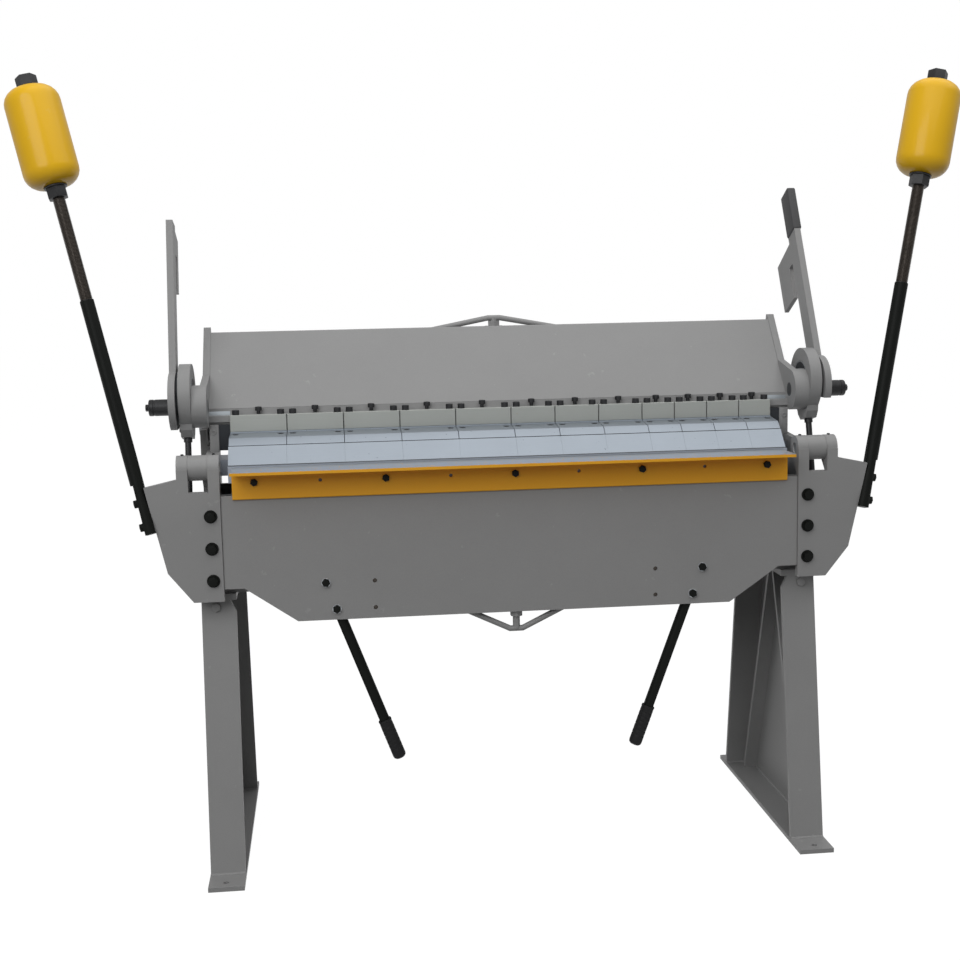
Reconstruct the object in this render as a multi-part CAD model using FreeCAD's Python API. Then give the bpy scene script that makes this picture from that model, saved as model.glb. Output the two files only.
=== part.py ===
import FreeCAD, Part

import math
import os

from FreeCAD import Vector

# Sheet metal folder of the box and pan kind, floor standing, bed for 1.25 m sheet.
# Millimetres, +Z up, +X along the bed. The operator stands on the -Y side.
# The origin is on the floor, at the centre of the four floor bolt holes.
# Below, places along Y are counted from the hinge line of the apron, which is
# also the front edge of the bed. HINGE_Y brings them into the frame of the part.
# Places along X are counted from the middle plane, and the left side is mirrored.

# Levels and overall places
BED_Z = 904.0
HINGE_Y = -191.5
RUN_GAP = 0.05
FACE_GAP = 0.4
FREE_GAP = 0.5

# Fingers: five wide ones, three middle ones and four narrow ones from left to right
FINGER_WIDE = 127.0
FINGER_MIDDLE = 101.6
FINGER_NARROW = 76.2
FINGER_SLIT = 0.3
NOSE_SETBACK = 10.0
NOSE_LIFT = 0.4
NOSE_FACE_Y = 37.5
NOSE_FACE_Z = 39.7
BEVEL_Y = 17.5
BEVEL_Z = 15.0
LEDGE_RISE = 6.0
BLOCK_STEP = 2.0
FINGER_FRONT_TO_BLOCK = 111.0
FINGER_LAND = 36.0
FINGER_RELIEF = 14.0
BLOCK_DEPTH = 18.0
BLOCK_HEIGHT = 37.5
BLOCK_EDGE = 1.5
BLOCK_PROUD = 2.0
JACK_SCREW_BACK = 17.0
JACK_SCREW_HEAD_R = 7.5
JACK_SCREW_STANDS = 18.0

# Upper beam
FINGER_BAR_DEPTH = 62.0
FINGER_BAR_HEIGHT = 58.0
FINGER_BAR_OVER = 25.7
SLOT_HEIGHT = 6.0
LEDGE_PLATE = 14.0
LEDGE_PLATE_DEPTH = 165.0
KEEL_BACK = 8.0
HOOD_SEAT = 15.0
HOOD_SEAT_DEPTH = 34.0
HOOD_SEAT_LIP = 2.5
HOOD_PLATE = 8.0
HOOD_FOOT = 19.0
HOOD_RUN = 135.5
HOOD_RISE = 166.9
HOOD_TOP_RETURN = 12.0
HOOD_BEND_R = 6.0
END_PLATE = 16.0
END_PLATE_STEP = 5.0
END_PLATE_PROUD = 3.0
END_PLATE_ABOVE = 12.0
END_PLATE_SHOULDER = 17.0
BOSS_OUT = 33.5
BOSS_R = 47.5
PIVOT_Y = 330.0
PIVOT_Z = 960.0
PIVOT_LOBE_R = 34.0
PIVOT_PIN_R = 12.0
PIVOT_HEAD_R = 18.0
PIVOT_HEAD = 6.0
BEAM_TRUSS_R = 6.5
BEAM_TRUSS_PEAK = 200.5
BEAM_TRUSS_LOW = 78.0
BEAM_TRUSS_Y = 319.5
TRUSS_FLAT = 14.0
TRUSS_NUT = 12.0
TRUSS_NUT_R = 14.5
TRUSS_NUT_GAP = 1.0
STRUT_R = 8.0
TRUSS_SEAT = 20.0
TRUSS_SEAT_EDGE = 2.0

# Clamping cams, levers and straps
SHAFT_Y = 129.5
SHAFT_Z = 1026.0
SHAFT_R = 16.0
CAM_OFFSET = 29.0
CAM_R = 46.0
CAM_BACK = 48.0
LEVER_BACK = [15.0, 28.0]
STRAP_R = 75.0
STRAP_WIDTH = 26.5
STRAP_NECK = 64.0
STRAP_FLARE = 8.0
STRAP_NECK_END = 92.0
STRAP_CORNER = 14.0
COLLAR_R = 60.0
COLLAR = 5.5
LEVER_PLATE = 15.0
LEVER_ROUND_R = 66.0
LEVER_ROUND_UP = 12.0
LEVER_FOOT = [49.0, 18.0]
LEVER_BAR = 50.0
LEVER_LENGTH = 424.0
HOOK_PLATE = 10.0
HOOK_TOP = [412.0, 397.0]
HOOK_REACH = [54.0, 104.0]
HOOK_FALL = 8.0
HOOK_DEPTH = 134.0
HOOK_MOUTH = 25.0
HOOK_MOUTH_DEPTH = 80.0
CAP_R = 18.5
CAP_LENGTH = [48.0, 50.0]
CAP_STUB_R = 8.0
CAP_STUB = 7.5
GRIP_LENGTH = 106.0
GRIP_WALL = 3.5
GRIP_LAP = 4.0
GRIP_TIP = 6.0
GRIP_PROUD = 2.0
GRIP_EASE = 3.0
TANG_LAP = 124.0
LINK_ROD_R = 7.0
LINK_COLLAR_R = 9.5
LINK_COLLAR = 9.0
LINK_ROD_IN_STRAP = 24.0
LINK_ROD_PAST = 16.0
LINK_NUT_R = 16.0
LINK_NUT = 14.0
LINK_WASHER_R = 21.0
LINK_WASHER = 3.0
LINK_NUT_GAP = 3.5

# Side frames
SIDE_PAST_BED = 41.7
SIDE_PLATE = 14.0
BARREL_R = 27.5
BARREL_LENGTH = 41.5
SIDE_TOP_BREAK = 168.0
SIDE_TOP_FRONT = 13.0
SIDE_TOP_REAR = 19.0
PAD = 14.0
PAD_LIP = 60.0
PAD_LIP_IN = 16.0
SIDE_FRONT_PROUD = 6.0
NECK_RISE_Y = 80.0
NECK_Y = 8.0
NECK_HALF = 24.5
NECK_DROP = 47.0
LUG_Y = 90.0
LUG_Z = 790.0
LUG = 22.0
LUG_R = 27.0
LUG_HOLE_R = 14.5
PIVOT_BLOCK_R = 30.0
PIVOT_BLOCK = 15.0
PIVOT_SIDE_GAP = 1.5
PIVOT_STOP_Y = 261.0
PIVOT_FOOT = 50.0

# Bed
BED_PLATE = 36.0
BED_FRONT_DEPTH = 130.0
BED_REAR_DEPTH = 100.0
BEAM_WALL = 8.0
BEAM_TAPER = 20.0
BEAM_FRONT_Y = 34.0
BEAM_REAR_Y = 330.0
BEAM_SHOULDER = 66.0

# Legs
LEG_TOP_Z = 606.0
LEG_INBOARD = 46.0
LEG_WIDTH = 76.0
LEG_PLATE = 10.0
LEG_WEB = 8.0
LEG_FRONT_TOP_Y = 20.0
LEG_FRONT_FOOT_Y = -66.0
LEG_REAR_TOP_Y = 363.0
LEG_REAR_FOOT_Y = 460.0
LEG_TOP_CUT = 14.0
BASE_PLATE = 10.0
BASE_WIDTH = 78.0
BASE_PROUD = 1.0
BASE_FRONT_Y = -135.0
BASE_REAR_Y = 518.0
BRACE = 12.0
BRACE_DEPTH = 32.0
BRACE_APEX_Y = 212.0
BRACE_FRONT_FOOT_Y = -14.0
BRACE_REAR_FOOT_Y = 422.0
FLOOR_HOLE_R = 6.5
FLOOR_HOLE_INSET = 39.5
FLOOR_HOLE_PITCH_Y = 605.0
LEG_BOLT_HEAD_R = 10.5
LEG_BOLT_HEAD = 8.0
LEG_BOLT_IN = 44.0
LEG_BOLT_DROP = 14.5

# Apron
APRON_PLATE = 12.0
APRON_FRONT = 26.0
APRON_PAST_BED = 16.3
APRON_NOTCH_Z = 640.0
APRON_BOTTOM_Z = 562.0
APRON_NOTCH = 42.6
APRON_BEVEL = 155.6
BAR_TOP_DROP = 2.6
BAR_HEIGHT = 58.4
BAR_SHORT = 25.6
BAR_LAP = 40.0
ANGLE_LEG = 66.0
ANGLE_PLATE = 6.5
ANGLE_TOE_R = 3.0
ANGLE_BOLT_END = 47.4
ANGLE_HOLE_R = 4.0
ANGLE_BOLT_DROP = 31.0
ANGLE_BOLT_HEAD_R = 8.5
ANGLE_BOLT_HEAD = 7.0
CLEAT = 12.0
CLEAT_LAP = 7.0
CLEAT_REACH = 60.6
CLEAT_END_GAP = 4.0
ARM_FRONT = 30.0
ARM_SIDE_GAP = 0.8
ARM_BOTTOM_Z = 614.0
ARM_FOOT = 65.1
ARM_LOW_OUT = 117.6
ARM_LOW_Z = 680.0
ARM_HIGH_OUT = 159.6
ARM_HIGH_Z = 868.0
ARM_SHOULDER_Z = 883.0
EAR_R = 28.0
EAR_PLATE = 24.0
SLOT_Z = 854.0
ARM_BOLT_INSET = 21.6
ARM_BOLT_TOP_Z = 801.5
ARM_BOLT_PITCH = 70.5
ARM_BOLT_HEAD_R = 11.0
ARM_BOLT_HEAD = 14.0
HINGE_PIN_R = 12.0
HINGE_PIN_SHORT = 3.0
APRON_TRUSS_R = 6.5
APRON_TRUSS_DROP = 49.0
APRON_TRUSS_SHORT = 21.0
APRON_STRUT_UP = 30.0
HANDLE_R = 11.5
HANDLE_TILT = 20.3
HANDLE_INSET = 240.6
HANDLE_Z = 586.0
HANDLE_BOLT_PITCH = 63.5
HANDLE_ABOVE = 88.0
HANDLE_BELOW = 376.0
HANDLE_GRIP_R = 15.0
HANDLE_GRIP = 96.0
HANDLE_GRIP_TIP = 3.0
HANDLE_GRIP_EASE = 3.0
HANDLE_BOLT_HEAD_R = 8.5
HANDLE_BOLT_HEAD = 7.0
SPARE_HOLE_STEP = 85.0
SPARE_HOLE_RISE = 59.7
SPARE_HOLE_R = 5.0

# Counterweights
TUBE_R = 15.0
TUBE_FOOT_Z = 768.0
TUBE_TOP_Z = 1265.0
TUBE_FOOT_Y = -30.5
TUBE_LEAN_X = 0.2434
TUBE_LEAN_Y = 0.1937
TUBE_FLAT = 112.0
TUBE_FLAT_DEPTH = 3.5
TUBE_FACE_DEPTH = 5.0
THREAD_R = 13.5
THREAD_IN_TUBE = 60.0
WEIGHT_R = 60.0
WEIGHT_LENGTH = 220.0
WEIGHT_ROUND = 34.0
WEIGHT_EASE = 10.0
WEIGHT_FOOT_Z = 1511.5
NUT_R = 23.0
NUT = 24.0
WASHER_R = 25.0
WASHER = 4.0
THREAD_PAST_NUT = 1.0
TUBE_BOLT_HEAD_R = 10.0
TUBE_BOLT_HEAD = 9.0
TUBE_BOLT_FIRST = 20.0
TUBE_BOLT_PITCH = 50.0

# Places worked out from the sizes above
FINGER_WIDTHS = [FINGER_WIDE] * 5 + [FINGER_MIDDLE] * 3 + [FINGER_NARROW] * 4
FINGER_ROW = sum(FINGER_WIDTHS)
BED_HALF = FINGER_ROW / 2
SIDE_IN = BED_HALF + SIDE_PAST_BED
END_PLATE_IN = SIDE_IN + END_PLATE_STEP
LEG_IN = SIDE_IN - LEG_INBOARD
FLOOR_HOLE_X = LEG_IN + FLOOR_HOLE_INSET
APRON_HALF = BED_HALF + APRON_PAST_BED
APRON_NOTCH_X = APRON_HALF - APRON_NOTCH
APRON_BOTTOM_X = APRON_HALF - APRON_BEVEL
BAR_HALF = APRON_HALF - BAR_SHORT
ANGLE_BOLT_PITCH = (BAR_HALF - ANGLE_BOLT_END) / 4
APRON_TRUSS_SPAN = BAR_HALF - APRON_TRUSS_SHORT
ARM_IN = APRON_HALF + ARM_SIDE_GAP
ARM_BOTTOM_OUT = ARM_IN + ARM_FOOT
ARM_LOW_X = ARM_IN + ARM_LOW_OUT
ARM_HIGH_X = ARM_IN + ARM_HIGH_OUT
ARM_BOLT_X = ARM_IN + ARM_BOLT_INSET
CLEAT_IN = BAR_HALF - CLEAT_LAP
CLEAT_OUT = ARM_IN + CLEAT_REACH
HANDLE_X = APRON_HALF - HANDLE_INSET
SPARE_HOLE_X = HANDLE_X - SPARE_HOLE_STEP
GRIP_START = LEVER_LENGTH - GRIP_LAP
BED_BOTTOM_Z = BED_Z - BED_PLATE
NOSE_Z = BED_Z + NOSE_LIFT
LEDGE_FRONT_Z = NOSE_Z + NOSE_FACE_Z + BEVEL_Z
BLOCK_Y = NOSE_SETBACK + FINGER_FRONT_TO_BLOCK
BLOCK_Z = LEDGE_FRONT_Z + LEDGE_RISE + BLOCK_STEP
BLOCK_TOP_Z = BLOCK_Z + BLOCK_HEIGHT
FINGER_BACK_Y = BLOCK_Y + BLOCK_DEPTH
LEDGE_PLATE_Z = BLOCK_TOP_Z - BLOCK_PROUD - LEDGE_PLATE
FINGER_BAR_TOP_Z = LEDGE_PLATE_Z - SLOT_HEIGHT
LEDGE_PLATE_TOP_Z = LEDGE_PLATE_Z + LEDGE_PLATE
HOOD_TOP_Y = FINGER_BACK_Y + HOOD_FOOT + HOOD_RUN
HOOD_FOOT_Z = LEDGE_PLATE_TOP_Z + HOOD_SEAT
HOOD_TOP_Z = HOOD_FOOT_Z + HOOD_RISE
BOSS_FACE = END_PLATE_IN + BOSS_OUT
STRAP_IN = BOSS_FACE + FREE_GAP
STRAP_OUT = STRAP_IN + STRAP_WIDTH
COLLAR_IN = STRAP_OUT + FREE_GAP
LEVER_IN = COLLAR_IN + COLLAR
LEVER_OUT = LEVER_IN + LEVER_PLATE
STRAP_MID = (STRAP_IN + STRAP_OUT) / 2
BARREL_IN = SIDE_IN
BARREL_OUT = BARREL_IN + BARREL_LENGTH
EAR_GAP_IN = BARREL_IN - FACE_GAP
EAR_GAP_OUT = BARREL_OUT + FACE_GAP
EAR_OUT = EAR_GAP_OUT + EAR_PLATE
APRON_BACK = APRON_FRONT - APRON_PLATE
ARM_PLATE = ARM_FRONT - APRON_BACK
BAR_TOP_Z = BED_Z - BAR_TOP_DROP
APRON_TOP_Z = BAR_TOP_Z - BAR_HEIGHT
PAD_TOP_Z = LEG_TOP_Z + PAD


def place(x, y, z):
    """A point whose y is counted from the hinge line."""
    return Vector(x, y + HINGE_Y, z)


def block(x0, x1, y0, y1, z0, z1):
    """A box between two corners."""
    return Part.makeBox(x1 - x0, y1 - y0, z1 - z0, place(x0, y0, z0))


def slab_x(points, x0, x1):
    """A plate that lies across X, from its outline of (y, z) corners."""
    corners = [place(x0, y, z) for y, z in points]
    face = Part.Face(Part.makePolygon(corners + corners[:1]))
    return face.extrude(Vector(x1 - x0, 0, 0))


def slab_y(points, y0, y1):
    """A plate that lies across Y, from its outline of (x, z) corners."""
    corners = [place(x, y0, z) for x, z in points]
    face = Part.Face(Part.makePolygon(corners + corners[:1]))
    return face.extrude(Vector(0, y1 - y0, 0))


def slab_z(points, z0, z1):
    """A plate that lies flat, from its outline of (x, y) corners."""
    corners = [place(x, y, z0) for x, y in points]
    face = Part.Face(Part.makePolygon(corners + corners[:1]))
    return face.extrude(Vector(0, 0, z1 - z0))


def round_x(radius, x0, x1, y, z):
    """A cylinder along X."""
    return Part.makeCylinder(radius, x1 - x0, place(x0, y, z), Vector(1, 0, 0))


def round_y(radius, y0, y1, x, z):
    """A cylinder along Y."""
    return Part.makeCylinder(radius, y1 - y0, place(x, y0, z), Vector(0, 1, 0))


def round_z(radius, z0, z1, x, y):
    """A cylinder along Z."""
    return Part.makeCylinder(radius, z1 - z0, place(x, y, z0), Vector(0, 0, 1))


def round_between(radius, start, end):
    """A cylinder from one point to another."""
    run = end.sub(start)
    return Part.makeCylinder(radius, run.Length, start, run)


def turned(outline, start, along):
    """A turned piece from its closed (radius, length) outline, set out along a direction."""
    corners = [Vector(radius, 0, length) for radius, length in outline]
    face = Part.Face(Part.makePolygon(corners + corners[:1]))
    piece = face.revolve(Vector(0, 0, 0), Vector(0, 0, 1), 360)
    piece.Placement = FreeCAD.Placement(start, FreeCAD.Rotation(Vector(0, 0, 1), Vector(along)))
    return piece


def hexagon(radius, length, start, along):
    """A hexagonal prism with the given corner radius."""
    along = Vector(along).normalize()
    side = along.cross(Vector(0.31, 0.57, 0.76)).normalize()
    other = along.cross(side)
    corners = []
    for step in range(6):
        angle = math.radians(60 * step)
        corners.append(start + side * (radius * math.cos(angle)) + other * (radius * math.sin(angle)))
    face = Part.Face(Part.makePolygon(corners + corners[:1]))
    return face.extrude(along * length)


def edges_along(shape, direction, test):
    """The straight edges that run along a direction and pass a test of their middle point."""
    picked = []
    for edge in shape.Edges:
        if not isinstance(edge.Curve, Part.Line):
            continue
        run = edge.Vertexes[-1].Point.sub(edge.Vertexes[0].Point)
        if run.cross(direction).Length < 1e-6 * run.Length and test(edge.CenterOfMass):
            picked.append(edge)
    return picked


def mirrored(shape):
    """The same shape on the left side."""
    return shape.mirror(Vector(0, 0, 0), Vector(1, 0, 0))


def save(name, shapes):
    """Write one node, made of one or more separate solids."""
    shape = shapes[0] if len(shapes) == 1 else Part.makeCompound(shapes)
    shape.exportStep(os.path.join("parts", name + ".step"))


def save_sides(name, build):
    """Write a left and a right node from the shape that build makes for the right side."""
    save(name + "_left", [mirrored(build())])
    save(name + "_right", [build()])


def leg_line(z, top_y, foot_y):
    """The place along Y of a leg flange's front face at a height."""
    share = (z - BASE_PLATE) / (LEG_TOP_Z - BASE_PLATE)
    return foot_y + share * (top_y - foot_y)


# Legs

def base_plate():
    """Foot plate with its two floor bolt holes."""
    x0 = LEG_IN - BASE_PROUD
    plate = block(x0, x0 + BASE_WIDTH, BASE_FRONT_Y, BASE_REAR_Y, 0, BASE_PLATE)
    for sign in (-1, 1):
        hole_y = sign * FLOOR_HOLE_PITCH_Y / 2 - HINGE_Y
        plate = plate.cut(round_z(FLOOR_HOLE_R, -1, BASE_PLATE + 1, FLOOR_HOLE_X, hole_y))
    return plate


def leg_flange(top_y, foot_y):
    """A leaning flange of the leg, with the bevel cut at its inner top corner."""
    outline = [
        (foot_y, BASE_PLATE),
        (foot_y + LEG_PLATE, BASE_PLATE),
        (top_y + LEG_PLATE, LEG_TOP_Z),
        (top_y, LEG_TOP_Z),
    ]
    flange = slab_x(outline, LEG_IN, LEG_IN + LEG_WIDTH)
    corner = [
        (LEG_IN - 1, LEG_TOP_Z - 2 * LEG_TOP_CUT),
        (LEG_IN + LEG_TOP_CUT, LEG_TOP_Z + 1),
        (LEG_IN - 1, LEG_TOP_Z + 1),
    ]
    return flange.cut(slab_y(corner, min(top_y, foot_y) - 1, max(top_y, foot_y) + LEG_PLATE + 1))


def leg_web():
    """Outer side plate of the leg, between its flanges."""
    x0 = LEG_IN + LEG_WIDTH - LEG_WEB
    outline = [
        (LEG_FRONT_FOOT_Y + LEG_PLATE, BASE_PLATE),
        (LEG_REAR_FOOT_Y, BASE_PLATE),
        (LEG_REAR_TOP_Y, LEG_TOP_Z),
        (LEG_FRONT_TOP_Y + LEG_PLATE, LEG_TOP_Z),
    ]
    return slab_x(outline, x0, x0 + LEG_WEB)


def brace_bar(foot_y, side):
    """One leaning bar of the inverted V, standing on edge on the web."""
    half = BRACE / 2
    outline = [
        (foot_y - half, BASE_PLATE),
        (foot_y + half, BASE_PLATE),
        (BRACE_APEX_Y + (BRACE if side > 0 else 0), LEG_TOP_Z),
        (BRACE_APEX_Y - (0 if side > 0 else BRACE), LEG_TOP_Z),
    ]
    x1 = LEG_IN + LEG_WIDTH - LEG_WEB
    return slab_x(outline, x1 - BRACE_DEPTH, x1)


def leg_braces():
    """The two bars of the inverted V on both legs."""
    bars = [brace_bar(BRACE_FRONT_FOOT_Y, -1), brace_bar(BRACE_REAR_FOOT_Y, 1)]
    return bars + [mirrored(bar) for bar in bars]


def leg_bolts():
    """Heads of the bolts that tie the front flanges to the side frames, square to the flange."""
    z = LEG_TOP_Z - LEG_BOLT_DROP
    seat = place(LEG_IN + LEG_BOLT_IN, leg_line(z, LEG_FRONT_TOP_Y, LEG_FRONT_FOOT_Y), z)
    outwards = Vector(0, BASE_PLATE - LEG_TOP_Z, LEG_FRONT_TOP_Y - LEG_FRONT_FOOT_Y)
    bolt = hexagon(LEG_BOLT_HEAD_R, LEG_BOLT_HEAD, seat, outwards)
    return [mirrored(bolt), bolt]


# Side frames and bed

def side_frame():
    """Side plate with the hinge barrel, the foot pad, the strap lug and the pivot block."""
    top_front = BED_Z + SIDE_TOP_FRONT
    top_rear = side_top_rear()
    front = BEAM_FRONT_Y - SIDE_FRONT_PROUD
    rear = LEG_REAR_TOP_Y
    outline = [
        (front, PAD_TOP_Z),
        (rear, PAD_TOP_Z),
        (rear, top_rear),
        (SIDE_TOP_BREAK, top_rear),
        (NECK_RISE_Y, top_front),
        (NECK_Y, BED_Z + NECK_HALF),
        (NECK_Y, BED_Z - NECK_HALF),
        (front, BED_Z - NECK_DROP),
    ]
    frame = slab_x(outline, SIDE_IN, SIDE_IN + SIDE_PLATE)
    barrel = round_x(BARREL_R, BARREL_IN, BARREL_OUT, 0, BED_Z)
    pad = block(LEG_IN, LEG_IN + LEG_WIDTH, LEG_FRONT_TOP_Y, rear + LEG_PLATE, LEG_TOP_Z, PAD_TOP_Z)
    lip_y = LEG_FRONT_TOP_Y + LEG_PLATE
    lip = block(LEG_IN + PAD_LIP_IN, LEG_IN + LEG_WIDTH - LEG_WEB, lip_y, lip_y + PAD, LEG_TOP_Z - PAD_LIP, LEG_TOP_Z)
    frame = frame.fuse([barrel, pad, lip, strap_lug(), pivot_block()])
    frame = frame.cut(round_x(HINGE_PIN_R + RUN_GAP, BARREL_IN - 1, BARREL_OUT + 1, 0, BED_Z))
    bore = round_x(PIVOT_PIN_R + RUN_GAP, END_PLATE_IN + END_PLATE, pivot_block_out() + 1, PIVOT_Y, PIVOT_Z)
    return frame.cut(bore).removeSplitter()


def strap_lug():
    """Lug on the outer face of the side plate, square to the rod that passes through it."""
    shape = block(SIDE_IN, STRAP_MID, LUG_Y - LUG_R, LUG_Y + LUG_R, LUG_Z - LUG, LUG_Z)
    shape = shape.fuse(round_z(LUG_R, LUG_Z - LUG, LUG_Z, STRAP_MID, LUG_Y))
    shape = shape.cut(round_z(LUG_HOLE_R, LUG_Z - LUG - 1, LUG_Z + 1, STRAP_MID, LUG_Y))
    shape.rotate(place(0, LUG_Y, LUG_Z), Vector(1, 0, 0), -math.degrees(rod_lean()))
    return shape


def pivot_block():
    """Block outside the side plate that carries the pivot of the beam and its setback screw."""
    x0 = END_PLATE_IN + END_PLATE + PIVOT_SIDE_GAP
    low = side_top_rear() - PIVOT_FOOT
    outline = [
        (PIVOT_STOP_Y, low),
        (PIVOT_Y + PIVOT_BLOCK_R, low),
        (PIVOT_Y + PIVOT_BLOCK_R, PIVOT_Z),
        (PIVOT_STOP_Y, PIVOT_Z),
    ]
    block_part = slab_x(outline, x0, x0 + PIVOT_BLOCK)
    block_part = block_part.fuse(round_x(PIVOT_BLOCK_R, x0, x0 + PIVOT_BLOCK, PIVOT_Y, PIVOT_Z))
    foot = block(SIDE_IN + SIDE_PLATE, x0, PIVOT_STOP_Y, PIVOT_Y + PIVOT_BLOCK_R, low, side_top_rear())
    return block_part.fuse(foot)


def pivot_block_out():
    """X of the pivot block's outer face."""
    return END_PLATE_IN + END_PLATE + PIVOT_SIDE_GAP + PIVOT_BLOCK


def side_top_rear():
    """Level of the side plate's upper edge behind the hinge barrel."""
    return BED_Z + SIDE_TOP_REAR


def bed_plate():
    """Machined bed, cut back at its ends so that the hinge arms can swing."""
    outline = [
        (-BED_HALF, FREE_GAP),
        (BED_HALF, FREE_GAP),
        (BED_HALF, BED_FRONT_DEPTH),
        (SIDE_IN, BED_FRONT_DEPTH),
        (SIDE_IN, BED_FRONT_DEPTH + BED_REAR_DEPTH),
        (-SIDE_IN, BED_FRONT_DEPTH + BED_REAR_DEPTH),
        (-SIDE_IN, BED_FRONT_DEPTH),
        (-BED_HALF, BED_FRONT_DEPTH),
    ]
    return slab_z(outline, BED_BOTTOM_Z, BED_Z)


def bed_beam():
    """Welded trough under the bed: front wall, bottom and rear wall."""
    shoulder_z = BED_Z - BEAM_SHOULDER
    wall = [
        (-SIDE_IN, PAD_TOP_Z),
        (SIDE_IN, PAD_TOP_Z),
        (SIDE_IN, shoulder_z),
        (BED_HALF, shoulder_z),
        (BED_HALF - BEAM_TAPER, BED_BOTTOM_Z),
        (-BED_HALF + BEAM_TAPER, BED_BOTTOM_Z),
        (-BED_HALF, shoulder_z),
        (-SIDE_IN, shoulder_z),
    ]
    rear_y = BED_FRONT_DEPTH + BED_REAR_DEPTH - BEAM_WALL
    beam = slab_y(wall, BEAM_FRONT_Y, BEAM_FRONT_Y + BEAM_WALL)
    beam = beam.fuse(slab_y(wall, rear_y, rear_y + BEAM_WALL))
    bottom = block(-SIDE_IN, SIDE_IN, BEAM_FRONT_Y, rear_y + BEAM_WALL, PAD_TOP_Z, PAD_TOP_Z + BEAM_WALL)
    return beam.fuse(bottom)


# Apron

def apron_plate():
    """Large front plate with bevelled lower corners and a notch at each end."""
    right = [
        (APRON_BOTTOM_X, APRON_BOTTOM_Z),
        (APRON_NOTCH_X, APRON_NOTCH_Z),
        (APRON_HALF, APRON_NOTCH_Z),
        (APRON_HALF, APRON_TOP_Z),
    ]
    left = [(-x, z) for x, z in reversed(right)]
    plate = slab_y(right + left, -APRON_FRONT, -APRON_BACK)
    for x, z in spare_holes():
        for side in (-1, 1):
            plate = plate.cut(round_y(SPARE_HOLE_R, -APRON_FRONT - 1, -APRON_BACK + 1, side * x, z))
    return plate


def apron_bar():
    """Machined bar along the hinge line, welded on the plate."""
    bar = block(-BAR_HALF, BAR_HALF, -APRON_FRONT, -FREE_GAP, APRON_TOP_Z, BAR_TOP_Z)
    rear = block(-BAR_HALF, BAR_HALF, -APRON_BACK, -FREE_GAP, APRON_TOP_Z - BAR_LAP, APRON_TOP_Z)
    return bar.fuse(rear).removeSplitter()


def bolt_row_z():
    """Height of the bolts of the wear angle."""
    return BED_Z - ANGLE_BOLT_DROP


def angle_bolt_places():
    """X of the five bolts of the wear angle."""
    return [2 * ANGLE_BOLT_PITCH * step for step in (-2, -1, 0, 1, 2)]


def wear_angle():
    """Rolled angle bolted on the apron, whose upper face carries the sheet."""
    back = -APRON_FRONT
    top = BAR_TOP_Z
    outline = [
        (back, top),
        (back - ANGLE_LEG, top),
        (back - ANGLE_LEG, top - ANGLE_PLATE),
        (back - ANGLE_PLATE, top - ANGLE_PLATE),
        (back - ANGLE_PLATE, top - ANGLE_LEG),
        (back, top - ANGLE_LEG),
    ]
    angle = slab_x(outline, -BAR_HALF, BAR_HALF)
    root = edges_along(angle, Vector(1, 0, 0), lambda p: inner_corner(p, back, top))
    angle = angle.makeFillet(ANGLE_PLATE, root)
    toe = edges_along(angle, Vector(1, 0, 0), lambda p: p.z < top - ANGLE_LEG + 1 and p.y < back + HINGE_Y - 1)
    angle = angle.makeFillet(ANGLE_TOE_R, toe)
    for step in (-3, -1, 1, 3):
        hole = round_y(ANGLE_HOLE_R, back - 2 * ANGLE_PLATE, back + 1, step * ANGLE_BOLT_PITCH, bolt_row_z())
        angle = angle.cut(hole)
    return angle


def inner_corner(point, back, top):
    """Whether a point lies on the root of the angle."""
    at_y = abs(point.y - HINGE_Y - back + ANGLE_PLATE) < 0.01
    return at_y and abs(point.z - top + ANGLE_PLATE) < 0.01


def apron_cleats():
    """Bars behind the plate's ends, to which the hinge arms are bolted."""
    low = APRON_NOTCH_Z + CLEAT_END_GAP
    high = APRON_TOP_Z - BAR_LAP - CLEAT_END_GAP
    cleat = block(CLEAT_IN, CLEAT_OUT, -APRON_BACK, -APRON_BACK + CLEAT, low, high)
    return [mirrored(cleat), cleat]


def arm_bolt_places():
    """X and Z of the three bolts of a hinge arm."""
    return [(ARM_BOLT_X, ARM_BOLT_TOP_Z - ARM_BOLT_PITCH * step) for step in range(3)]


def hinge_arm():
    """Hinge arm: a plate with two ears round the barrel and a slanted outer edge for the tube."""
    outline = [
        (ARM_IN, ARM_BOTTOM_Z),
        (ARM_BOTTOM_OUT, ARM_BOTTOM_Z),
        (ARM_LOW_X, ARM_LOW_Z),
        (ARM_HIGH_X, ARM_HIGH_Z),
        (EAR_OUT, ARM_SHOULDER_Z),
        (EAR_OUT, BED_Z),
        (ARM_IN, BED_Z),
    ]
    arm = slab_y(outline, -ARM_FRONT, -APRON_BACK)
    ear_outline = [
        (-ARM_FRONT, BED_Z - EAR_R * 1.9),
        (-APRON_BACK, BED_Z - EAR_R * 1.9),
        (EAR_R * 0.8, BED_Z - EAR_R * 0.6),
        (EAR_R * 0.8, BED_Z),
        (-ARM_FRONT, BED_Z),
    ]
    for x0, x1 in ((ARM_IN, EAR_GAP_IN), (EAR_GAP_OUT, EAR_OUT)):
        ear = slab_x(ear_outline, x0, x1).fuse(round_x(EAR_R, x0, x1, 0, BED_Z))
        arm = arm.fuse(ear)
    slot = block(EAR_GAP_IN, EAR_GAP_OUT, -ARM_FRONT - 1, EAR_R + 1, SLOT_Z, BED_Z + EAR_R + 1)
    arm = arm.cut(slot)
    arm = arm.cut(round_x(HINGE_PIN_R, ARM_IN - 1, EAR_OUT + 1, 0, BED_Z))
    return arm.removeSplitter()


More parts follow.
